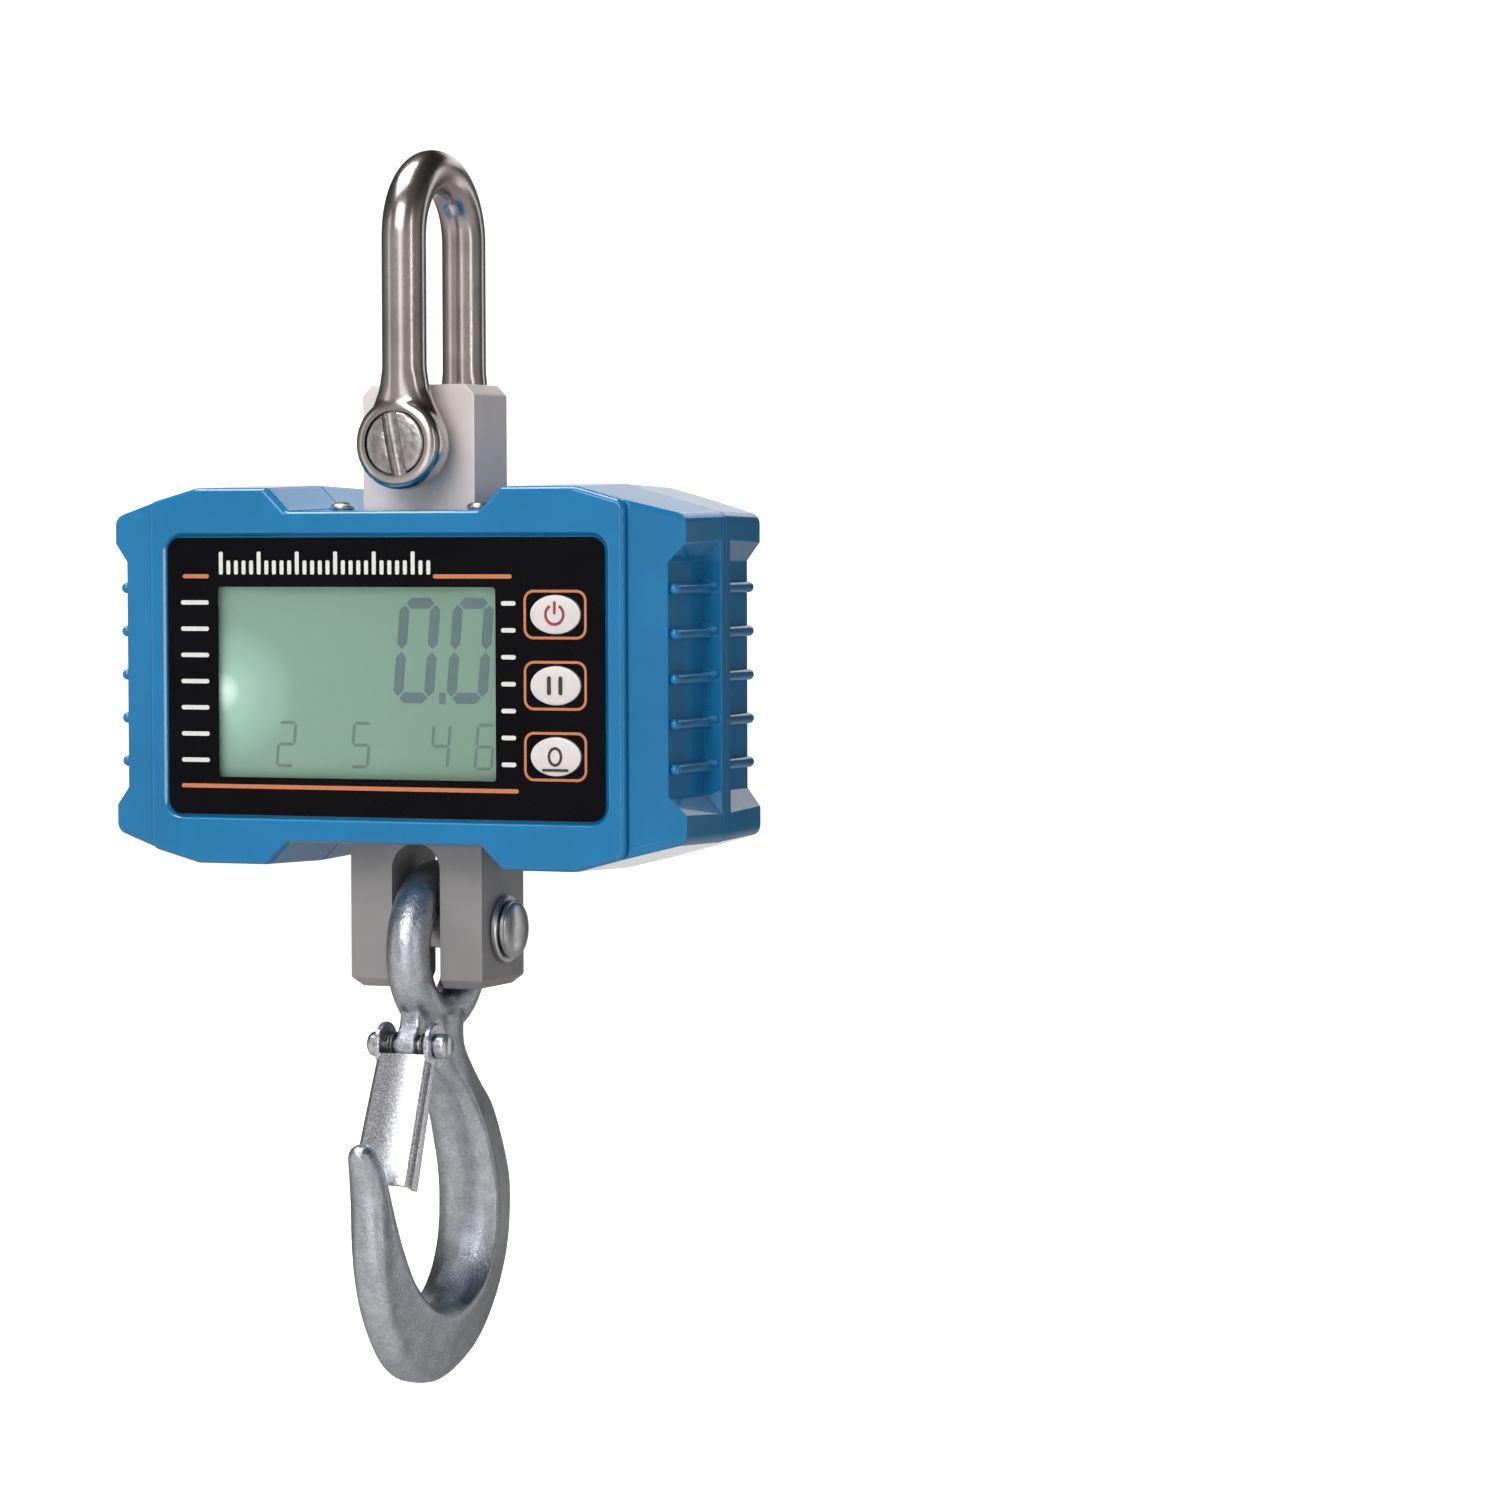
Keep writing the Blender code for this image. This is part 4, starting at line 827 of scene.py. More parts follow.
def make_clevis():
    low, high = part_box("lower_clevis")
    half_x, half_y = CLEVIS_HALF
    chamfer = 2.1 * MM
    rings = []
    for inset, z in ((chamfer, low.z), (0, low.z + chamfer), (0, high.z)):
        x, y = half_x - inset, half_y - inset
        rings.append([(-x, -y, z), (x, -y, z), (x, y, z), (-x, y, z)])
    block = rounded(loft(rings), 0.3 * MM, 2)
    arch_z = CASE.z - 38.3 * MM - SLOT_HALF
    arch = arc((0, arch_z), SLOT_HALF, 0, 180, 24)
    slot = slab([(SLOT_HALF, low.z - 0.02), *arch, (-SLOT_HALF, low.z - 0.02)], -0.02, 0.02)
    clevis = carve(block, (CUT, slot), bore("X", PIN_BORE, 30 * MM, HOOK_PIN))
    piece("clevis_block", clevis, "clevis", "scale", ["lower_clevis"])


def make_hook_pin():
    face = CLEVIS_HALF[0]
    low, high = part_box("hook_pin")
    flange = from_face(face, (4.8, 2.0), (6.3, 2.0), (6.7, 2.3), (6.7, 3.0), (6.3, 3.15))
    flange += from_face(face, (6.3, 3.4))
    dome = [(6.2 * MM * share, high.x - MM * share**3) for share in (0.95, 0.85, 0.7, 0.5, 0.25)]
    profile = from_face(low.x, (4.0, 0), (4.8, 0.8)) + flange + dome
    pin = turned("X", profile, HOOK_PIN)
    piece("hook_pin_turned", pin, "pin", "scale", ["hook_pin"])
    step = 0.35 * MM
    rings = (
        ("hook_pin_washer_turned", 7.7 * MM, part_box("hook_pin_washer"), "hook_pin_washer"),
        ("hook_pin_clip", 6.6 * MM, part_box("hook_pin_ring"), "hook_pin_ring"),
    )
    for name, radius, (start, end), node in rings:
        outline = [(radius - step, start.x), (radius, start.x + step)]
        outline += [(radius, end.x - step), (radius - step, end.x)]
        disc = turned("X", outline, HOOK_PIN)
        disc = carve(disc, bore("X", PIN_BORE, 100 * MM, HOOK_PIN))
        piece(name, disc, "pin", "scale", [node])


# ---- Hook and latch

# Stations down the forging, in millimetres from the hook pin's axis:
# inner edge (Y, Z), outer edge (Y, Z), half width inside, half width outside, roundness
HOOK_STATIONS = (
    ((-10.2, -19.5), (6.2, -19.5), 5.9, 5.9, 0.7),
    ((-10.0, -27.0), (6.4, -26.7), 5.9, 5.7, 0.7),
    ((-4.6, -32.8), (10.2, -31.6), 6.2, 4.8, 0.6),
    ((3.2, -39.0), (14.9, -36.8), 6.7, 4.2, 0.3),
    ((10.0, -47.7), (22.0, -43.4), 7.2, 3.8, 0.0),
    ((14.1, -57.7), (29.6, -56.0), 7.7, 3.5, 0.0),
    ((15.3, -65.0), (32.0, -65.0), 7.9, 3.4, 0.0),
    ((14.4, -73.7), (30.0, -78.4), 7.9, 3.4, 0.0),
    ((10.2, -81.7), (21.6, -91.0), 7.8, 3.6, 0.0),
    ((3.0, -87.0), (8.8, -99.9), 7.6, 4.0, 0.0),
    ((-6.0, -88.6), (-9.5, -104.3), 7.4, 4.2, 0.1),
    ((-15.0, -85.7), (-23.0, -99.4), 7.0, 4.0, 0.2),
    ((-21.5, -79.7), (-32.4, -88.4), 6.7, 4.0, 0.4),
    ((-25.3, -72.7), (-36.6, -78.5), 6.2, 4.3, 0.6),
    ((-28.2, -65.7), (-38.3, -69.2), 5.7, 4.5, 0.8),
    ((-30.6, -58.7), (-38.9, -60.6), 5.0, 4.5, 1.0),
    ((-33.0, -52.4), (-40.4, -53.4), 4.3, 4.0, 1.0),
    ((-35.6, -47.6), (-42.4, -48.6), 3.1, 3.1, 1.0),
    ((-38.0, -45.9), (-41.0, -46.3), 1.4, 1.4, 1.0),
)
# Half of the bar's section, from its crown to its back: depth and half width as shares
SECTION_DEPTHS = (-0.35, -0.27, -0.08, 0.06, 0.36, 0.66, 0.9, 0.98, 1.0)
SECTION_WIDTHS = (0.0, 0.5, 0.86, 1.0, 1.0, 1.0, 1.0, 0.75, 0.0)
STATION_STEPS = 6
SECTION_STEPS = 3


def spline_value(values, place):
    """A smooth curve through the values, at a place counted in values (Catmull-Rom)."""
    last = len(values) - 1
    index = min(int(place), last - 1)
    t = place - index
    before, after = max(index - 1, 0), min(index + 2, last)
    a, b, c, d = values[before], values[index], values[index + 1], values[after]
    line = (c - a) * t
    square = (2 * a - 5 * b + 4 * c - d) * t * t
    cube = (3 * b - a - 3 * c + d) * t**3
    return b + (line + square + cube) / 2


def hook_section(place):
    """The bar's section: wide and crowned inside, narrow outside, or an ellipse when round."""
    columns = zip(*[(*inner, *outer, *rest) for inner, outer, *rest in HOOK_STATIONS])
    values = [spline_value(column, place) for column in columns]
    inner_y, inner_z, outer_y, outer_z, inner_half, outer_half, roundness = values
    inner = HOOK_PIN + Vector((0, inner_y, inner_z)) * MM
    across = HOOK_PIN + Vector((0, outer_y, outer_z)) * MM - inner
    last = len(SECTION_DEPTHS) - 1
    right = []
    for step in range(last * SECTION_STEPS + 1):
        share = step / SECTION_STEPS
        depth = spline_value(SECTION_DEPTHS, share)
        width = max(0.0, spline_value(SECTION_WIDTHS, share))
        taper = inner_half + (outer_half - inner_half) * max(depth, 0)
        if depth < 0:
            depth *= inner_half * MM / across.length
        angle = math.pi * share / last
        round_half = (inner_half + outer_half) / 2 * math.sin(angle)
        depth += ((1 - math.cos(angle)) / 2 - depth) * roundness
        half = taper * width + (round_half - taper * width) * roundness
        right.append(inner + across * depth + Vector((half * MM, 0, 0)))
    left = [Vector((-point.x, point.y, point.z)) for point in reversed(right[1:-1])]
    return right + left


def torus(centre, radius, tube, around=96, across=32):
    """A ring in the YZ plane."""
    rings = []
    for i in range(around):
        turn = 2 * math.pi * i / around
        outward = Vector((0, math.sin(turn), math.cos(turn)))
        rings.append(round_ring(centre + outward * radius, outward, tube, across))
    return loft(rings, closed=True)


def make_hook():
    last = (len(HOOK_STATIONS) - 1) * STATION_STEPS
    bar = loft([hook_section(i / STATION_STEPS) for i in range(last + 1)])
    eye = torus(HOOK_PIN - Vector((0, 0, 4.8 * MM)), 15.3 * MM, 5.1 * MM)
    lug = arc((0, 0), 3.4 * MM, 150, 270, 12)
    lug += [mm(6.5, -3.4), mm(6.5, 10), mm(-0.2, 10), mm(-0.6, 4.5)]
    lug = [(LATCH_PIN.y + y, LATCH_PIN.z + z) for y, z in lug]
    tongue = turned_by(slab(lug, -2.5 * MM, 2.5 * MM), 90, "Z")
    hook = flowed(carve(bar, (JOIN, eye, tongue)), 0.5 * MM, 5)
    hook = carve(hook, bore("X", LATCH_BORE, 20 * MM, LATCH_PIN))
    piece("hook_forging", hook, "hook", "hook", ["hook"], 75)


# The latch as it lies before it leans: its pin in the middle, its face in front
LATCH_LEAN = 23.5
LATCH_LENGTH = 34.0 * MM
LATCH_TOP = -3.2 * MM
LATCH_SHEET = 1.3 * MM
LATCH_HALF_WIDTHS = mm(6.9, 7.6)
LATCH_FRONT = -3.0 * MM
LATCH_FLANGES = mm(3.7, 4.7)
EAR_RADIUS = 5.2 * MM


def channel_ring(half, depth, z):
    """The latch's section: face in front, a flange down each side."""
    front, back, sheet, crown = LATCH_FRONT, LATCH_FRONT + depth, LATCH_SHEET, 0.75 * MM
    points = [
        (-half, back),
        (-half, front),
        (0, front - crown),
        (half, front),
        (half, back),
        (half - sheet, back),
        (half - sheet, front + sheet),
        (0, front - crown + sheet),
        (-half + sheet, front + sheet),
        (-half + sheet, back),
    ]
    bend, edge, soft = mm(2.0, 0.15, 30)
    inner = bend - sheet
    radii = (edge, bend, soft, bend, edge, edge, inner, soft, inner, edge)
    return [(x, y, z) for x, y in rounded_outline(points, radii, 4)]


def make_latch():
    """The spring latch: a tapered sheet channel with two round ears."""
    rings = []
    for share in (0.0, 0.04, 0.5, 0.96, 1.0):
        z = LATCH_TOP + (-LATCH_LENGTH - LATCH_TOP) * share
        tapers = (LATCH_HALF_WIDTHS, LATCH_FLANGES)
        half, depth = [top + (tip - top) * share for top, tip in tapers]
        rings.append(channel_ring(half, depth, z))
    ears = []
    edge = 0.25 * MM
    for side in (-1, 1):
        start, end = sorted(side * (LATCH_HALF_WIDTHS[0] - depth) for depth in (0, LATCH_SHEET))
        profile = [(EAR_RADIUS - edge, start), (EAR_RADIUS, start + edge)]
        profile += [(EAR_RADIUS, end - edge), (EAR_RADIUS - edge, end)]
        ears.append(turned("X", profile))
    latch = carve(loft(rings), (JOIN, *ears), bore("X", LATCH_BORE, 20 * MM))
    moved(turned_by(latch, -LATCH_LEAN, "X"), LATCH_PIN)
    piece("latch_channel", latch, "latch", "latch", ["latch"], 40)


def make_latch_pin():
    shoulder, end, radius = mm(7.25, 10.2, 2.9)
    dome = arc((radius - 1.4 * MM, end - 1.4 * MM), 1.4 * MM, 0, 80, 6)
    right = [(2.0 * MM, shoulder), (radius, shoulder), *dome]
    left = [(r, -x) for r, x in reversed(right)]
    pin = turned("X", left + right, LATCH_PIN, 40)
    piece("latch_rivet", pin, "zinc", "hook", ["latch_pin"])


def wire(points, radius):
    """A round wire along a row of points."""
    round_bevel = {"bevel_depth": radius, "bevel_resolution": 2, "use_fill_caps": True}
    return from_curve([points], False, dimensions="3D", **round_bevel)


def make_latch_springs():
    lean = Matrix.Rotation(math.radians(-LATCH_LEAN), 3, "X")
    radius, coil, start_x, turns, per_turn = 0.4 * MM, 2.55 * MM, 3.35 * MM, 2.5, 24
    for name, side in (("left", -1), ("right", 1)):
        points = []
        for i in range(int(turns * per_turn) + 1):
            angle = 2 * math.pi * i / per_turn
            x = side * (start_x + 0.8 * MM * i / per_turn)
            spot = Vector((x, coil * math.cos(angle), coil * math.sin(angle)))
            points.append(LATCH_PIN + lean @ spot)
        foot = Vector((side * start_x, -1.0 * MM, -15 * MM))
        points.insert(0, LATCH_PIN + lean @ foot)
        node = f"latch_spring_{name}"
        coil_mesh = wire(points, radius)
        piece(f"{node}_wire", coil_mesh, "dark_steel", "latch", [node], 60)


# ---- Case


def case_outline(y, wall=0.0, side_wall=0.0, rounding=1.0):
    """The case's outline at a depth, or the outline of its inside when walls are given."""
    depth = abs(y)
    draft = DRAFT * (1 - min(depth / SEAM_Y, 1))
    if depth <= SIDE_Y:
        side = SIDE_X + draft
    else:
        side = SIDE_X - (SIDE_X - SEAM_X) * (depth - SIDE_Y) / (SEAM_Y - SIDE_Y)
    top = LOBE_Z + draft
    corner = top - (side - LOBE_OUTER_X) * SHOULDER_SLOPE
    quarter = [
        (NOTCH_FLOOR_X + 0.41 * wall, NOTCH_Z + draft - wall),
        (NOTCH_TOP_X + 0.41 * wall, top - wall),
        (LOBE_OUTER_X - 0.13 * wall, top - wall),
        (side - side_wall, corner + (side_wall * SHOULDER_SLOPE - 1.04 * wall)),
    ]
    radii = [radius * rounding for radius in CORNER_RADII]
    points = quarter + [(x, -z) for x, z in reversed(quarter)]
    points += [(-x, -z) for x, z in quarter] + [(-x, z) for x, z in reversed(quarter)]
    return rounded_outline(points, (radii + radii[::-1]) * 2, 5)


def shell_recess(side_y):
    """What is cut out of both ends of a shell, from the flange outwards."""
    low, high, far = RECESS_HALF_HEIGHT, 39.2 * MM, 80 * MM
    ys = sorted((side_y * FLANGE_Y, side_y * 40 * MM))
    right = [(RECESS_X, -low), (far, -high), (far, high), (RECESS_X, low)]
    left = [(-x, z) for x, z in reversed(right)]
    return merged(slab(right, *ys), slab(left, *ys))


def rib(side_x, side_y, z):
    """A bar with a round nose and a round front end, standing on the recess's floor."""
    start, end = RIB_ENDS_Y
    nose = arc((0, end - RIB_RADIUS), RIB_RADIUS, 0, 85, 6)
    profile = [(r, side_y * y) for r, y in ((RIB_RADIUS, start), *nose)]
    crest = turned("Y", profile, steps=24)
    moved(crest, (side_x * (RIB_X - RIB_RADIUS), 0, z))
    ys = sorted((side_y * start, side_y * (end - RIB_RADIUS)))
    xs = sorted((side_x * (RECESS_X - MM), side_x * (RIB_X - RIB_RADIUS)))
    half = RIB_RADIUS * 0.999
    foot = box((xs[0], ys[0], z - half), (xs[1], ys[1], z + half))
    return crest, foot


def gusset(side_x, side_y, z):
    """A sloping web between a rib's top and the flange behind it."""
    start, end = sorted((side_y * (FLANGE_Y - 0.4 * MM), side_y * (FLANGE_Y + 1.0 * MM)))
    low, high = RECESS_X - 0.5 * MM, SIDE_X - 0.1 * MM
    points = [(low, z), (high, z), (high, z + 1.5 * MM), (low, z + 3.1 * MM)]
    if side_x < 0:
        points = [(-x, level) for x, level in reversed(points)]
    return slab(points, start, end)


def block_opening(half, low_z, high_z):
    """Room for the lug or the clevis, with a little air round it."""
    x, y = grown(half, 0.8, 0.8)
    return box((-x, -y, low_z), (x, y, high_z))


def shell(side_y):
    """Half of the case: the outside first, with its edges rounded, then the inside."""
    front = SEAM_Y - (SEAM_GAP if side_y < 0 else 0)
    depths = (SEAM_GAP, SIDE_Y, front)
    outside = plate_loft([(case_outline(y), side_y * y) for y in depths])
    outside = carve(outside, (CUT, shell_recess(side_y)))
    outside = rounded(outside, 0.55 * MM, 3, 24)
    ribs = []
    for side_x in (-1, 1):
        for index in range(-2, 3):
            place = (side_x, side_y, index * RIB_PITCH)
            ribs += [*rib(*place), gusset(*place)]
    cavity = [(case_outline(y, WALL, SIDE_WALL, 0.4), side_y * y) for y in (-MM, SIDE_Y - WALL)]
    cavity.append((case_outline(SIDE_Y, WALL, SIDE_WALL, 0.4), side_y * INNER_Y))
    lug = block_opening(LUG_HALF, 30 * MM, 50 * MM)
    clevis = block_opening(CLEVIS_HALF, -50 * MM, -30 * MM)
    return carve(outside, (JOIN, *ribs), (CUT, plate_loft(cavity), lug, clevis))


def make_front_shell():
    window = plate(mm(112.6, 66.6), PANEL_RADIUS, -40 * MM, -20 * MM)
    made = moved(carve(shell(-1), (CUT, window)), CASE)
    piece("case_front", made, "blue", "scale", ["front_shell"], 30)


def make_rear_shell():
    door_low, door_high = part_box("battery_door")
    size = (door_high.x - door_low.x + 2 * GAP, door_high.z - door_low.z + 2 * GAP)
    rebate = plate(size, 3.3 * MM, door_low.y - GAP, 40 * MM)
    bay = plate(mm(56.2, 45), 1.5 * MM, 20 * MM, 40 * MM)
    heads = []
    for index in range(1, 5):
        low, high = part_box(f"case_screw_{index}")
        place = ((low.x + high.x) / 2, 0, (low.z + high.z) / 2 - CASE.z)
        heads.append(rod("Y", 3.1 * MM, 22.6 * MM, 40 * MM, place, 32))
    made = moved(carve(shell(1), (CUT, rebate, bay, merged(*heads))), CASE)
    piece("case_rear", made, "blue", "scale", ["rear_shell"], 30)


def inset(outline, amount):
    """An outline moved inwards by an amount, as its points' own normals say."""
    result = []
    count = len(outline)
    for i, point in enumerate(outline):
        along = Vector(outline[(i + 1) % count]) - Vector(outline[i - 1])
        if along.length < 1e-9:
            result.append(point)
            continue
        normal = Vector((along.y, -along.x)).normalized()
        result.append((point[0] + normal.x * amount, point[1] + normal.y * amount))
    return result


def face_plate():
    """The front plate, with a groove behind it and a rounded rim in front."""
    outline = [
        (x - math.copysign(0.25 * MM, x) if abs(x) > SEAM_X - MM else x, z)
        for x, z in case_outline(SEAM_Y)
    ]
    rim, steps, groove = 1.25 * MM, 5, 0.4 * MM
    back = -SEAM_Y - SEAM_GAP
    layers = [(inset(outline, groove), back), (outline, back - groove)]
    for i in range(steps + 1):
        angle = math.pi / 2 * i / steps
        drop = rim * (1 - math.cos(angle))
        layers.append((inset(outline, drop), COVER_FRONT + rim * (1 - math.sin(angle))))
    return plate_loft(layers)


# How far the sunk panel's lip reaches past the panel, and its level, in millimetres
PANEL_LIP = ((2.3, -28.4), (1.9, -28.0), (1.1, -27.75), (0.6, -27.2), (0.3, -26.9))


def make_front_cover():
    """The front plate with a sunk panel in it and openings for the display and keys."""
    plug = plate(mm(112, 66), PANEL_RADIUS, -27 * MM, COVER_BACK)
    lip = []
    for reach, level in PANEL_LIP:
        size = grown(PANEL_SIZE, 2 * reach, 2 * reach)
        lip.append((rounded_rectangle(size, 3.4 * MM + reach * MM), level * MM))
    lip.append((lip[-1][0], PANEL_HIGH.y + GAP))
    window = grown(DISPLAY_SIZE, 2.4, 2.6)
    opening = plate(window, MM, -40 * MM, -10 * MM, DISPLAY_CENTRE)
    lens = grown(DISPLAY_SIZE, 6.6, 6.6)
    lens_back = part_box("display_window")[1].y + 0.35 * MM
    recess = plate(lens, 1.5 * MM, -40 * MM, lens_back, DISPLAY_CENTRE)
    hole = grown(KEY_SIZE, 0.9, 0.9)
    holes = merged(*[slab(ellipse(hole, (KEY_X, z)), -40 * MM, -10 * MM) for z in KEY_ZS])
    cuts = (plate_loft(lip), recess, opening, holes)
    cover = moved(carve(face_plate(), (JOIN, plug), (CUT, *cuts)), CASE)
    piece("case_face", cover, "blue", "scale", ["front_cover"], 30)


# ---- Panel


def make_film():
    window = rounded_rectangle(DISPLAY_SIZE, 0.8 * MM, DISPLAY_CENTRE)
    hole = grown(KEY_SIZE, 0.6, 0.6)
    holes = [window] + [ellipse(hole, (KEY_X, z)) for z in KEY_ZS]
    outline = rounded_rectangle(PANEL_SIZE, PANEL_RADIUS)
    film = slab(outline, PANEL_FRONT, PANEL_HIGH.y, holes)
    moved(film, CASE)
    piece("panel_film", film, "film", "scale", ["keypad_panel"])


def ink(name, shapes, look, front=None):
    """Printed marks: a thin raised layer on the film, or on another face in front."""
    back = PANEL_FRONT + 0.01 * MM if front is None else front + 0.01 * MM
    layers = [slab(outline, back - INK, back, holes) for outline, *holes in shapes]
    piece(name, moved(merged(*layers), CASE), look, "scale")


def bar(x_start, x_end, z, thickness):
    """A printed bar with round ends, in millimetres from the case's centre."""
    x_start, x_end, z, thickness = mm(x_start, x_end, z, thickness)
    size = (x_end - x_start, thickness)
    return rounded_rectangle(size, min(size) * 0.45, ((x_start + x_end) / 2, z), 3)


def make_prints():
    ticks = []
    for i in range(7):
        for start, end in ((-51.4, -44.2), (29.6, 33.2)):
            ticks.append([bar(start, end, 16.8 - 6.0 * i, 1.0)])
    ink("panel_ticks", ticks, "white_ink")
    lines = ((-50.9, -44.1, 22.8), (12.8, 32.3, 22.8), (-51.5, 33.8, -25.1))
    rules = [[bar(*line, 0.95)] for line in lines]
    ink("panel_rules", rules, "copper_ink")
    frames = []
    for z in KEY_ZS:
        outer = rounded_rectangle(KEY_FRAME, 2.4 * MM, (KEY_X, z))
        inner = rounded_rectangle(grown(KEY_FRAME, -1.2, -1.2), 1.8 * MM, (KEY_X, z))
        frames.append([outer, inner])
    ink("panel_key_frames", frames, "copper_ink")
    ink("panel_heading", heading_marks(), "white_ink")


HEADING_PLACE = mm(-41.0, 23.2)
HEADING_STROKES, HEADING_PITCH = 28, 1.95 * MM
LONG_STROKE, SHORT_STROKE = mm(5.2, 3.2)


def heading_marks():
    """A plain row of upright strokes, long and short like a rule, where a heading would be."""
    marks = []
    for i in range(HEADING_STROKES):
        x = HEADING_PLACE[0] + i * HEADING_PITCH
        height = LONG_STROKE if i % 5 == 0 else SHORT_STROKE
        centre = (x, HEADING_PLACE[1] + height / 2)
        marks.append([rounded_rectangle((MM, height), 0.3 * MM, centre, 2)])
    return marks


# The seven strokes of a digit: start and end in units of the half width and half height
SEVEN = {
    "a": ((-1, 1), (1, 1)),
    "b": ((1, 1), (1, 0)),
    "c": ((1, 0), (1, -1)),
    "d": ((-1, -1), (1, -1)),
    "e": ((-1, 0), (-1, -1)),
    "f": ((-1, 1), (-1, 0)),
    "g": ((-1, 0), (1, 0)),
}


def digit(strokes, centre, size, thickness, slant):
    """Outlines of a slanted seven-stroke digit, each stroke a bar with mitred ends."""
    half_x = size[0] / 2 - thickness / 2
    half_z = size[1] / 2 - thickness / 2
    outlines = []
    for stroke in strokes:
        (ax, az), (bx, bz) = SEVEN[stroke]
        start = Vector((ax * half_x, az * half_z))
        end = Vector((bx * half_x, bz * half_z))
        along = (end - start).normalized()
        across = Vector((-along.y, along.x)) * thickness / 2
        near = start + along * thickness * 0.62
        far = end - along * thickness * 0.62
        tip = thickness * 0.5
        points = [near - across, far - across, far + along * tip, far + across, near + across]
        points.append(near - along * tip)
        outlines.append([[(centre[0] + p.x + slant * p.y, centre[1] + p.y) for p in points]])
    return outlines


def make_display():
    """The lit digits, and the faint small row under them."""
    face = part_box("lcd_glass")[0].y
    size, thickness = mm(10.2, 23.8), 2.5 * MM
    marks = []
    for x in mm(7.6, 20.9):
        marks += digit("abcdef", (x, 6.1 * MM), size, thickness, 0.09)
    dot = rounded_rectangle(mm(1.6, 2.6), 0.3 * MM, mm(13.9, -4.6))
    marks.append([dot])
    ink("display_digits", marks, "segment", face)
    small = mm(4.8, 10.6)
    faint = []
    for strokes, x in (("abged", -25.6), ("afgcd", -6.6), ("fgbc", 13.4), ("afgedc", 24.4)):
        faint += digit(strokes, (x * MM, -15.4 * MM), small, 0.75 * MM, 0.09)
    ink("display_small_row", faint, "faint_segment", face)


def make_keys():
    for name, z in zip(KEY_NAMES, KEY_ZS):
        low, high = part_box(f"{name}_key")
        front = low.y
        crown, edge = 0.42 * MM, 0.985
        levels = [(1.0, high.y - 0.6 * MM), (1.0, front + 0.75 * MM), (edge, front + crown)]
        for step in range(1, 7):
            angle = math.pi / 2 * step / 7
            levels.append((edge * math.cos(angle), front + crown * (1 - math.sin(angle))))
        cap = plate_loft(
            [(ellipse([side * share for side in KEY_SIZE]), level) for share, level in levels]
        )
        flange = slab(ellipse(grown(KEY_SIZE, 3, 2.4)), high.y - MM, high.y)
        cap = moved(carve(cap, (JOIN, flange)), CASE + Vector((KEY_X, 0, z)))
        node = f"{name}_key"
        piece(f"{node}_cap", cap, "key", node, [node], 40)
        symbol(name, z, front)


def symbol(name, z, front):
    """A plain sign on each key: on and off, a held bar, and a pan at nought."""
    back = front + 0.10 * MM
    if name == "power":
        ring = arc((0, 0), 2.5 * MM, 120, 420, 28)
        inner = arc((0, 0), 1.85 * MM, 420, 120, 28)
        shapes = [ring + inner, bar(-0.33, 0.33, 1.5, 3.0)]
    elif name == "hold":
        shapes = [bar(-1.9, -0.9, 0, 4.2), bar(0.9, 1.9, 0, 4.2)]
    else:
        ring = ellipse(mm(3.6, 4.4), steps=32)
        hole = ellipse(mm(2.3, 3.1), steps=32)
        shapes = [(ring, hole), bar(-3.2, 3.2, -3.0, 0.6)]
    layers = []
    for shape in shapes:
        outline, *holes = shape if isinstance(shape, tuple) else (shape,)
        layers.append(slab(outline, back - 0.12 * MM, back + 0.3 * MM, holes))
    mark = moved(merged(*layers), CASE + Vector((KEY_X, 0, z)))
    colour = "red_ink" if name == "power" else "dark_ink"
    piece(f"{name}_key_sign", mark, colour, f"{name}_key")


# ---- Screws and rear


TOP_HEAD = ((1.5, -1.7), (2.7, -1.7), (2.8, -1.5), (2.8, -1.15), (2.6, -0.8), (2.0, -0.4))
TOP_HEAD += ((1.2, -0.12), (0.5, 0))
REAR_HEAD = ((1.5, -1.9), (2.75, -1.9), (2.75, -1.0), (2.4, -0.4), (1.4, -0.05), (0.5, 0))
DOOR_HEAD = ((1.1, -0.9), (2.2, -0.1), (2.1, 0))
# Names, axis, head as (radius, height from its top), cross slot's half length and depth, sides
SCREWS = (
    ("top_screw_{}", "1234", "Z", TOP_HEAD, (1.5, 1.0), 40, "pin"),
    ("case_screw_{}", "1234", "Y", REAR_HEAD, (1.5, 1.0), 40, "zinc"),
    ("door_screw_{}", ("left", "right"), "Y", DOOR_HEAD, (1.3, 0.8), 32, "zinc"),
)


def make_screws():
    """Each visible screw: a turned shank and head with two crossed slots in its top."""
    for form, keys, axis, head, slot, sides, look in SCREWS:
        along = "XYZ".index(axis)
        for node in map(form.format, keys):
            low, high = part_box(node)
            centre = [(start + end) / 2 for start, end in zip(low, high)]
            centre[along] = 0
            top = high[along]
            profile = [(head[0][0] * MM, low[along]), *from_face(top, *head)]
            half, depth = mm(*slot)
            arms = []
            for arm in ((half, half * 0.26), (half * 0.26, half)):
                near, far = [-side for side in arm], list(arm)
                near.insert(along, top - depth)
                far.insert(along, top + MM)
                arms.append(moved(box(near, far), centre))
            screw = carve(turned(axis, profile, centre, sides), (CUT, *arms))
            piece(f"{node}_head", screw, look, "scale", [node])


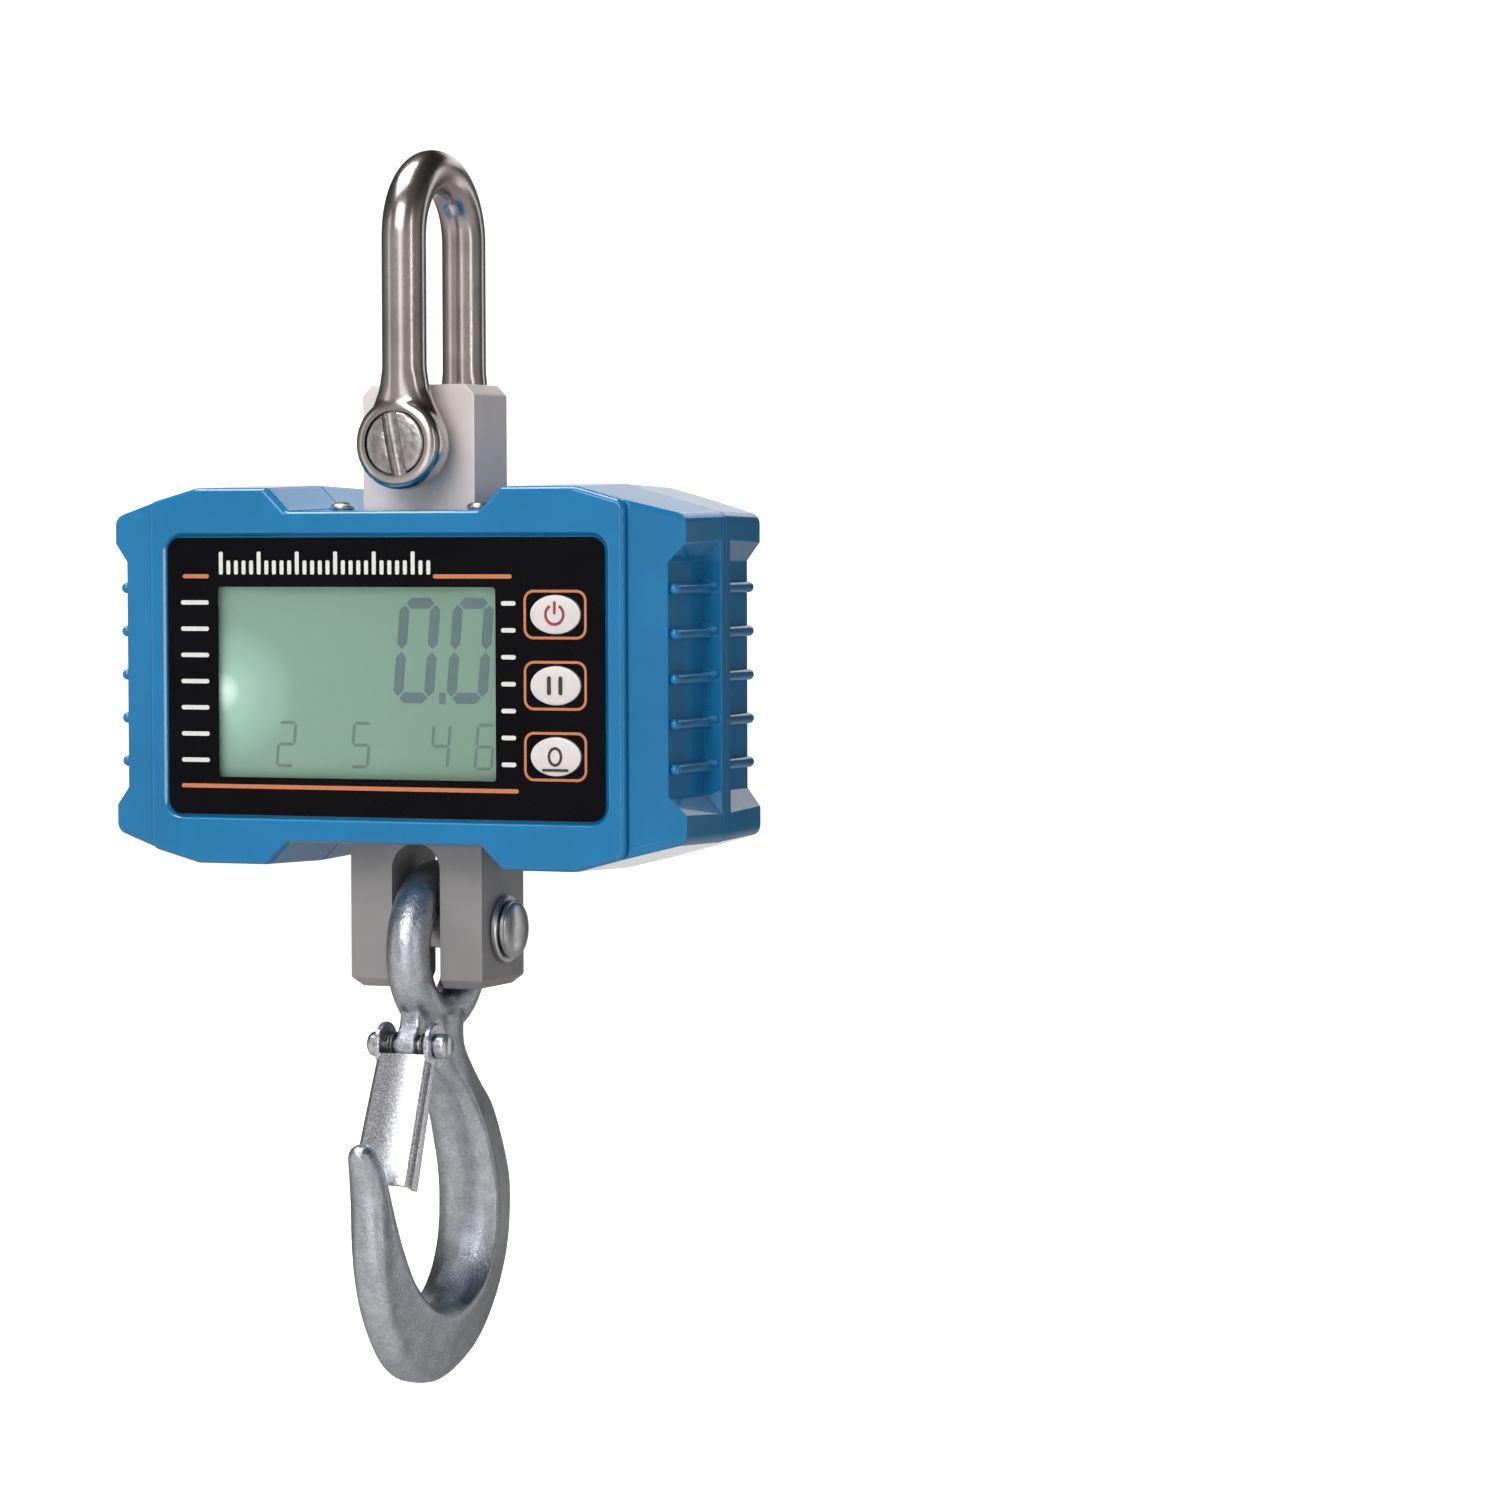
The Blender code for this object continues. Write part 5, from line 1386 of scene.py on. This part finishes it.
def make_battery_door():
    """The door in the rear shell, with a shallow finger grip of ribs."""
    low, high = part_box("battery_door")
    size = (high.x - low.x, high.z - low.z)
    door = rounded(plate(size, 3.0 * MM, low.y, high.y), 0.3 * MM, 2, 50)
    cuts = []
    for side in ("left", "right"):
        screw_low, screw_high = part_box(f"door_screw_{side}")
        x = (screw_low.x + screw_high.x) / 2
        cone = from_face(low.y, (1.3, -1), (1.3, 0)) + from_face(high.y, (2.6, 0), (3.7, 1))
        cuts.append(turned("Y", cone, (x, 0, 0), 32))
    for index in range(7):
        z = (index - 3) * 2.2 * MM - 14 * MM
        groove = rounded_rectangle(mm(16, 0.9), 0.4 * MM, (0, z), 3)
        cuts.append(slab(groove, high.y - 0.4 * MM, high.y + MM))
    door = moved(carve(door, (CUT, *cuts)), CASE)
    piece("battery_lid", door, "blue", "scale", ["battery_door"], 30)


# ---- Carried-over nodes


def finish_nodes():
    """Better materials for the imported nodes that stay."""
    nodes_by_look = {
        "alloy": ("load_cell",),
        "zinc": ("upper_stud", "lower_stud", "upper_lock_nut", "lower_lock_nut"),
        "rubber": ("case_gasket_left", "case_gasket_right"),
        "pane": ("display_window",),
        "display": ("lcd_glass",),
        "white": ("backlight", "cell_socket"),
        "board": ("main_board",),
        "dark": ("power_switch", "hold_switch", "tare_switch", "cell_lead", "battery_tray"),
        "sleeve": ("battery_1", "battery_2", "battery_3"),
    }
    for look, nodes in nodes_by_look.items():
        for node in nodes:
            mesh = frame["nodes"][node].data
            mesh.materials.clear()
            mesh.materials.append(LOOKS[look])


# ---- Stage, light and camera


FLOOR_FRONT, FLOOR_BACK, FLOOR_SIDE = -3.0, 1.6, 5
BACKDROP_BEND, BACKDROP_TOP = 0.8, 4.0
WALL_RADIUS, WALL_STEPS = 2.9, 64


def stage_piece(name, bm, glow):
    """A pale surface that the camera sees and that leaves the object's light alone."""
    mesh = mesh_of(bm, name)
    mesh.shade_smooth()
    made = linked(name, mesh)
    look = Look(name, 0.9)
    look.colour(look.ramp(look.noise(3, 2), shades((0.92, 0.92, 0.92), 0.005)))
    look.shader.inputs["Emission Color"].default_value = (1, 1, 1, 1)
    look.shader.inputs["Emission Strength"].default_value = glow
    mesh.materials.append(look.material)
    made.visible_glossy = False
    made.visible_diffuse = False
    return made


def make_stage():
    """A floor that curves up into a backdrop, and a round wall behind it on every side."""
    floor_z = CAD_BOX[0].z - 0.05
    bend = [
        (FLOOR_BACK + y, floor_z + BACKDROP_BEND + z)
        for y, z in arc((0, 0), BACKDROP_BEND, -90, 0, 12)
    ]
    profile = [(FLOOR_FRONT, floor_z), (FLOOR_BACK, floor_z), *bend]
    profile.append((FLOOR_BACK + BACKDROP_BEND, BACKDROP_TOP))
    bm = bmesh.new()
    rows = [[bm.verts.new((x, y, z)) for x in (-FLOOR_SIDE, FLOOR_SIDE)] for y, z in profile]
    for low, high in zip(rows, rows[1:]):
        bm.faces.new((low[0], low[1], high[1], high[0]))
    stage_piece("floor", bm, 0.8)

    bm = bmesh.new()
    turn = [2 * math.pi * i / WALL_STEPS for i in range(WALL_STEPS)]
    circle = [(WALL_RADIUS * math.cos(a), WALL_RADIUS * math.sin(a)) for a in turn]
    low, high = [[bm.verts.new((*spot, z)) for spot in circle] for z in (floor_z, BACKDROP_TOP)]
    for i in range(WALL_STEPS):
        j = (i + 1) % WALL_STEPS
        bm.faces.new((low[i], low[j], high[j], high[i]))
    wall = stage_piece("surround", bm, 1.0)
    wall.visible_shadow = False
    wall.visible_transmission = False


LIGHT_TARGET = (0, 0, -0.12)
# Name, place, width and height, power
LIGHTS = (
    ("key", (0.0, -1.6, 0.85), (1.2, 0.9), 16),
    ("front_strip", (0.2, -1.7, -0.15), (0.6, 1.6), 3.8),
    ("right_fill", (1.56, 0.33, -0.05), (0.8, 1.2), 0.5),
    ("top", (-0.45, -0.12, 1.25), (0.9, 0.9), 24),
    ("back_top", (0.05, 1.5, 0.62), (1.0, 0.35), 1.4),
    ("left_strip", (-1.3, -0.9, 0.0), (0.3, 1.4), 1.3),
    ("right_strip", (1.35, -0.66, 0.0), (0.08, 1.2), 2.0),
    ("right_card", (0.92, 1.31, -0.05), (0.3, 1.4), 2.0),
    ("back_card", (-0.61, 1.48, -0.03), (1.0, 1.0), 2.4),
)


def make_light():
    for name, place, size, power in LIGHTS:
        light = bpy.data.lights.new(name, "AREA")
        light.shape = "RECTANGLE"
        light.size, light.size_y = size
        light.energy = power
        made = linked(name, light)
        made.location = place
        towards = Vector(LIGHT_TARGET) - Vector(place)
        made.rotation_euler = towards.to_track_quat("-Z", "Y").to_euler()
        made.visible_camera = name != "back_card"
    make_world()


def make_world():
    """The room: mid grey in front, darker behind and above, with a glow from the floor."""
    world = bpy.data.worlds.new("studio")
    bpy.context.scene.world = world
    world.use_nodes = True
    tree = world.node_tree
    place = add_node(tree, "ShaderNodeTexCoord").outputs["Generated"]
    split = add_node(tree, "ShaderNodeSeparateXYZ", {0: place}).outputs
    # Brightness along the room's depth, times that along its height, plus the floor's glow
    shares = (
        ("Y", ((0.0, 0.56), (0.3, 0.46), (0.55, 0.20), (0.8, 0.07))),
        ("Z", ((0.5, 1.0), (0.62, 0.75), (0.75, 0.3), (1.0, 0.25))),
        ("Z", ((0.0, 0.40), (0.3, 0.33), (0.46, 0.0), (1.0, 0.0))),
    )
    inputs = {}
    for index, (axis, stops) in enumerate(shares):
        level = add_node(tree, "ShaderNodeMapRange", {"Value": split[axis], "From Min": -1})
        greys = [(at, (value, value * 0.985, value * 0.97)) for at, value in stops]
        inputs[index] = add_ramp(tree, level.outputs["Result"], greys)
    room = add_node(tree, "ShaderNodeVectorMath", inputs, operation="MULTIPLY_ADD")
    tree.links.new(room.outputs[0], tree.nodes["Background"].inputs["Color"])


def make_camera():
    data = bpy.data.cameras.new("camera")
    data.lens = CAMERA_LENS
    data.sensor_width = 36.0
    camera = linked("camera", data)
    turn = Matrix.Rotation(CAMERA_YAW, 4, "Z")
    tilt = Matrix.Rotation(math.pi / 2 - CAMERA_DOWN, 4, "X")
    roll = Matrix.Rotation(CAMERA_ROLL, 4, "Z")
    camera.matrix_world = Matrix.Translation(CAMERA_PLACE) @ turn @ tilt @ roll
    bpy.context.scene.camera = camera


MAKERS = (
    make_shackle,
    make_shackle_pin,
    make_lug,
    make_clevis,
    make_hook_pin,
    make_hook,
    make_latch,
    make_latch_pin,
    make_latch_springs,
    make_front_shell,
    make_rear_shell,
    make_front_cover,
    make_film,
    make_prints,
    make_display,
    make_keys,
    make_screws,
    make_battery_door,
    finish_nodes,
)


def main():
    bpy.context.scene.view_settings.view_transform = "Standard"
    for make in MAKERS:
        make()
    make_stage()
    make_light()
    make_camera()


main()
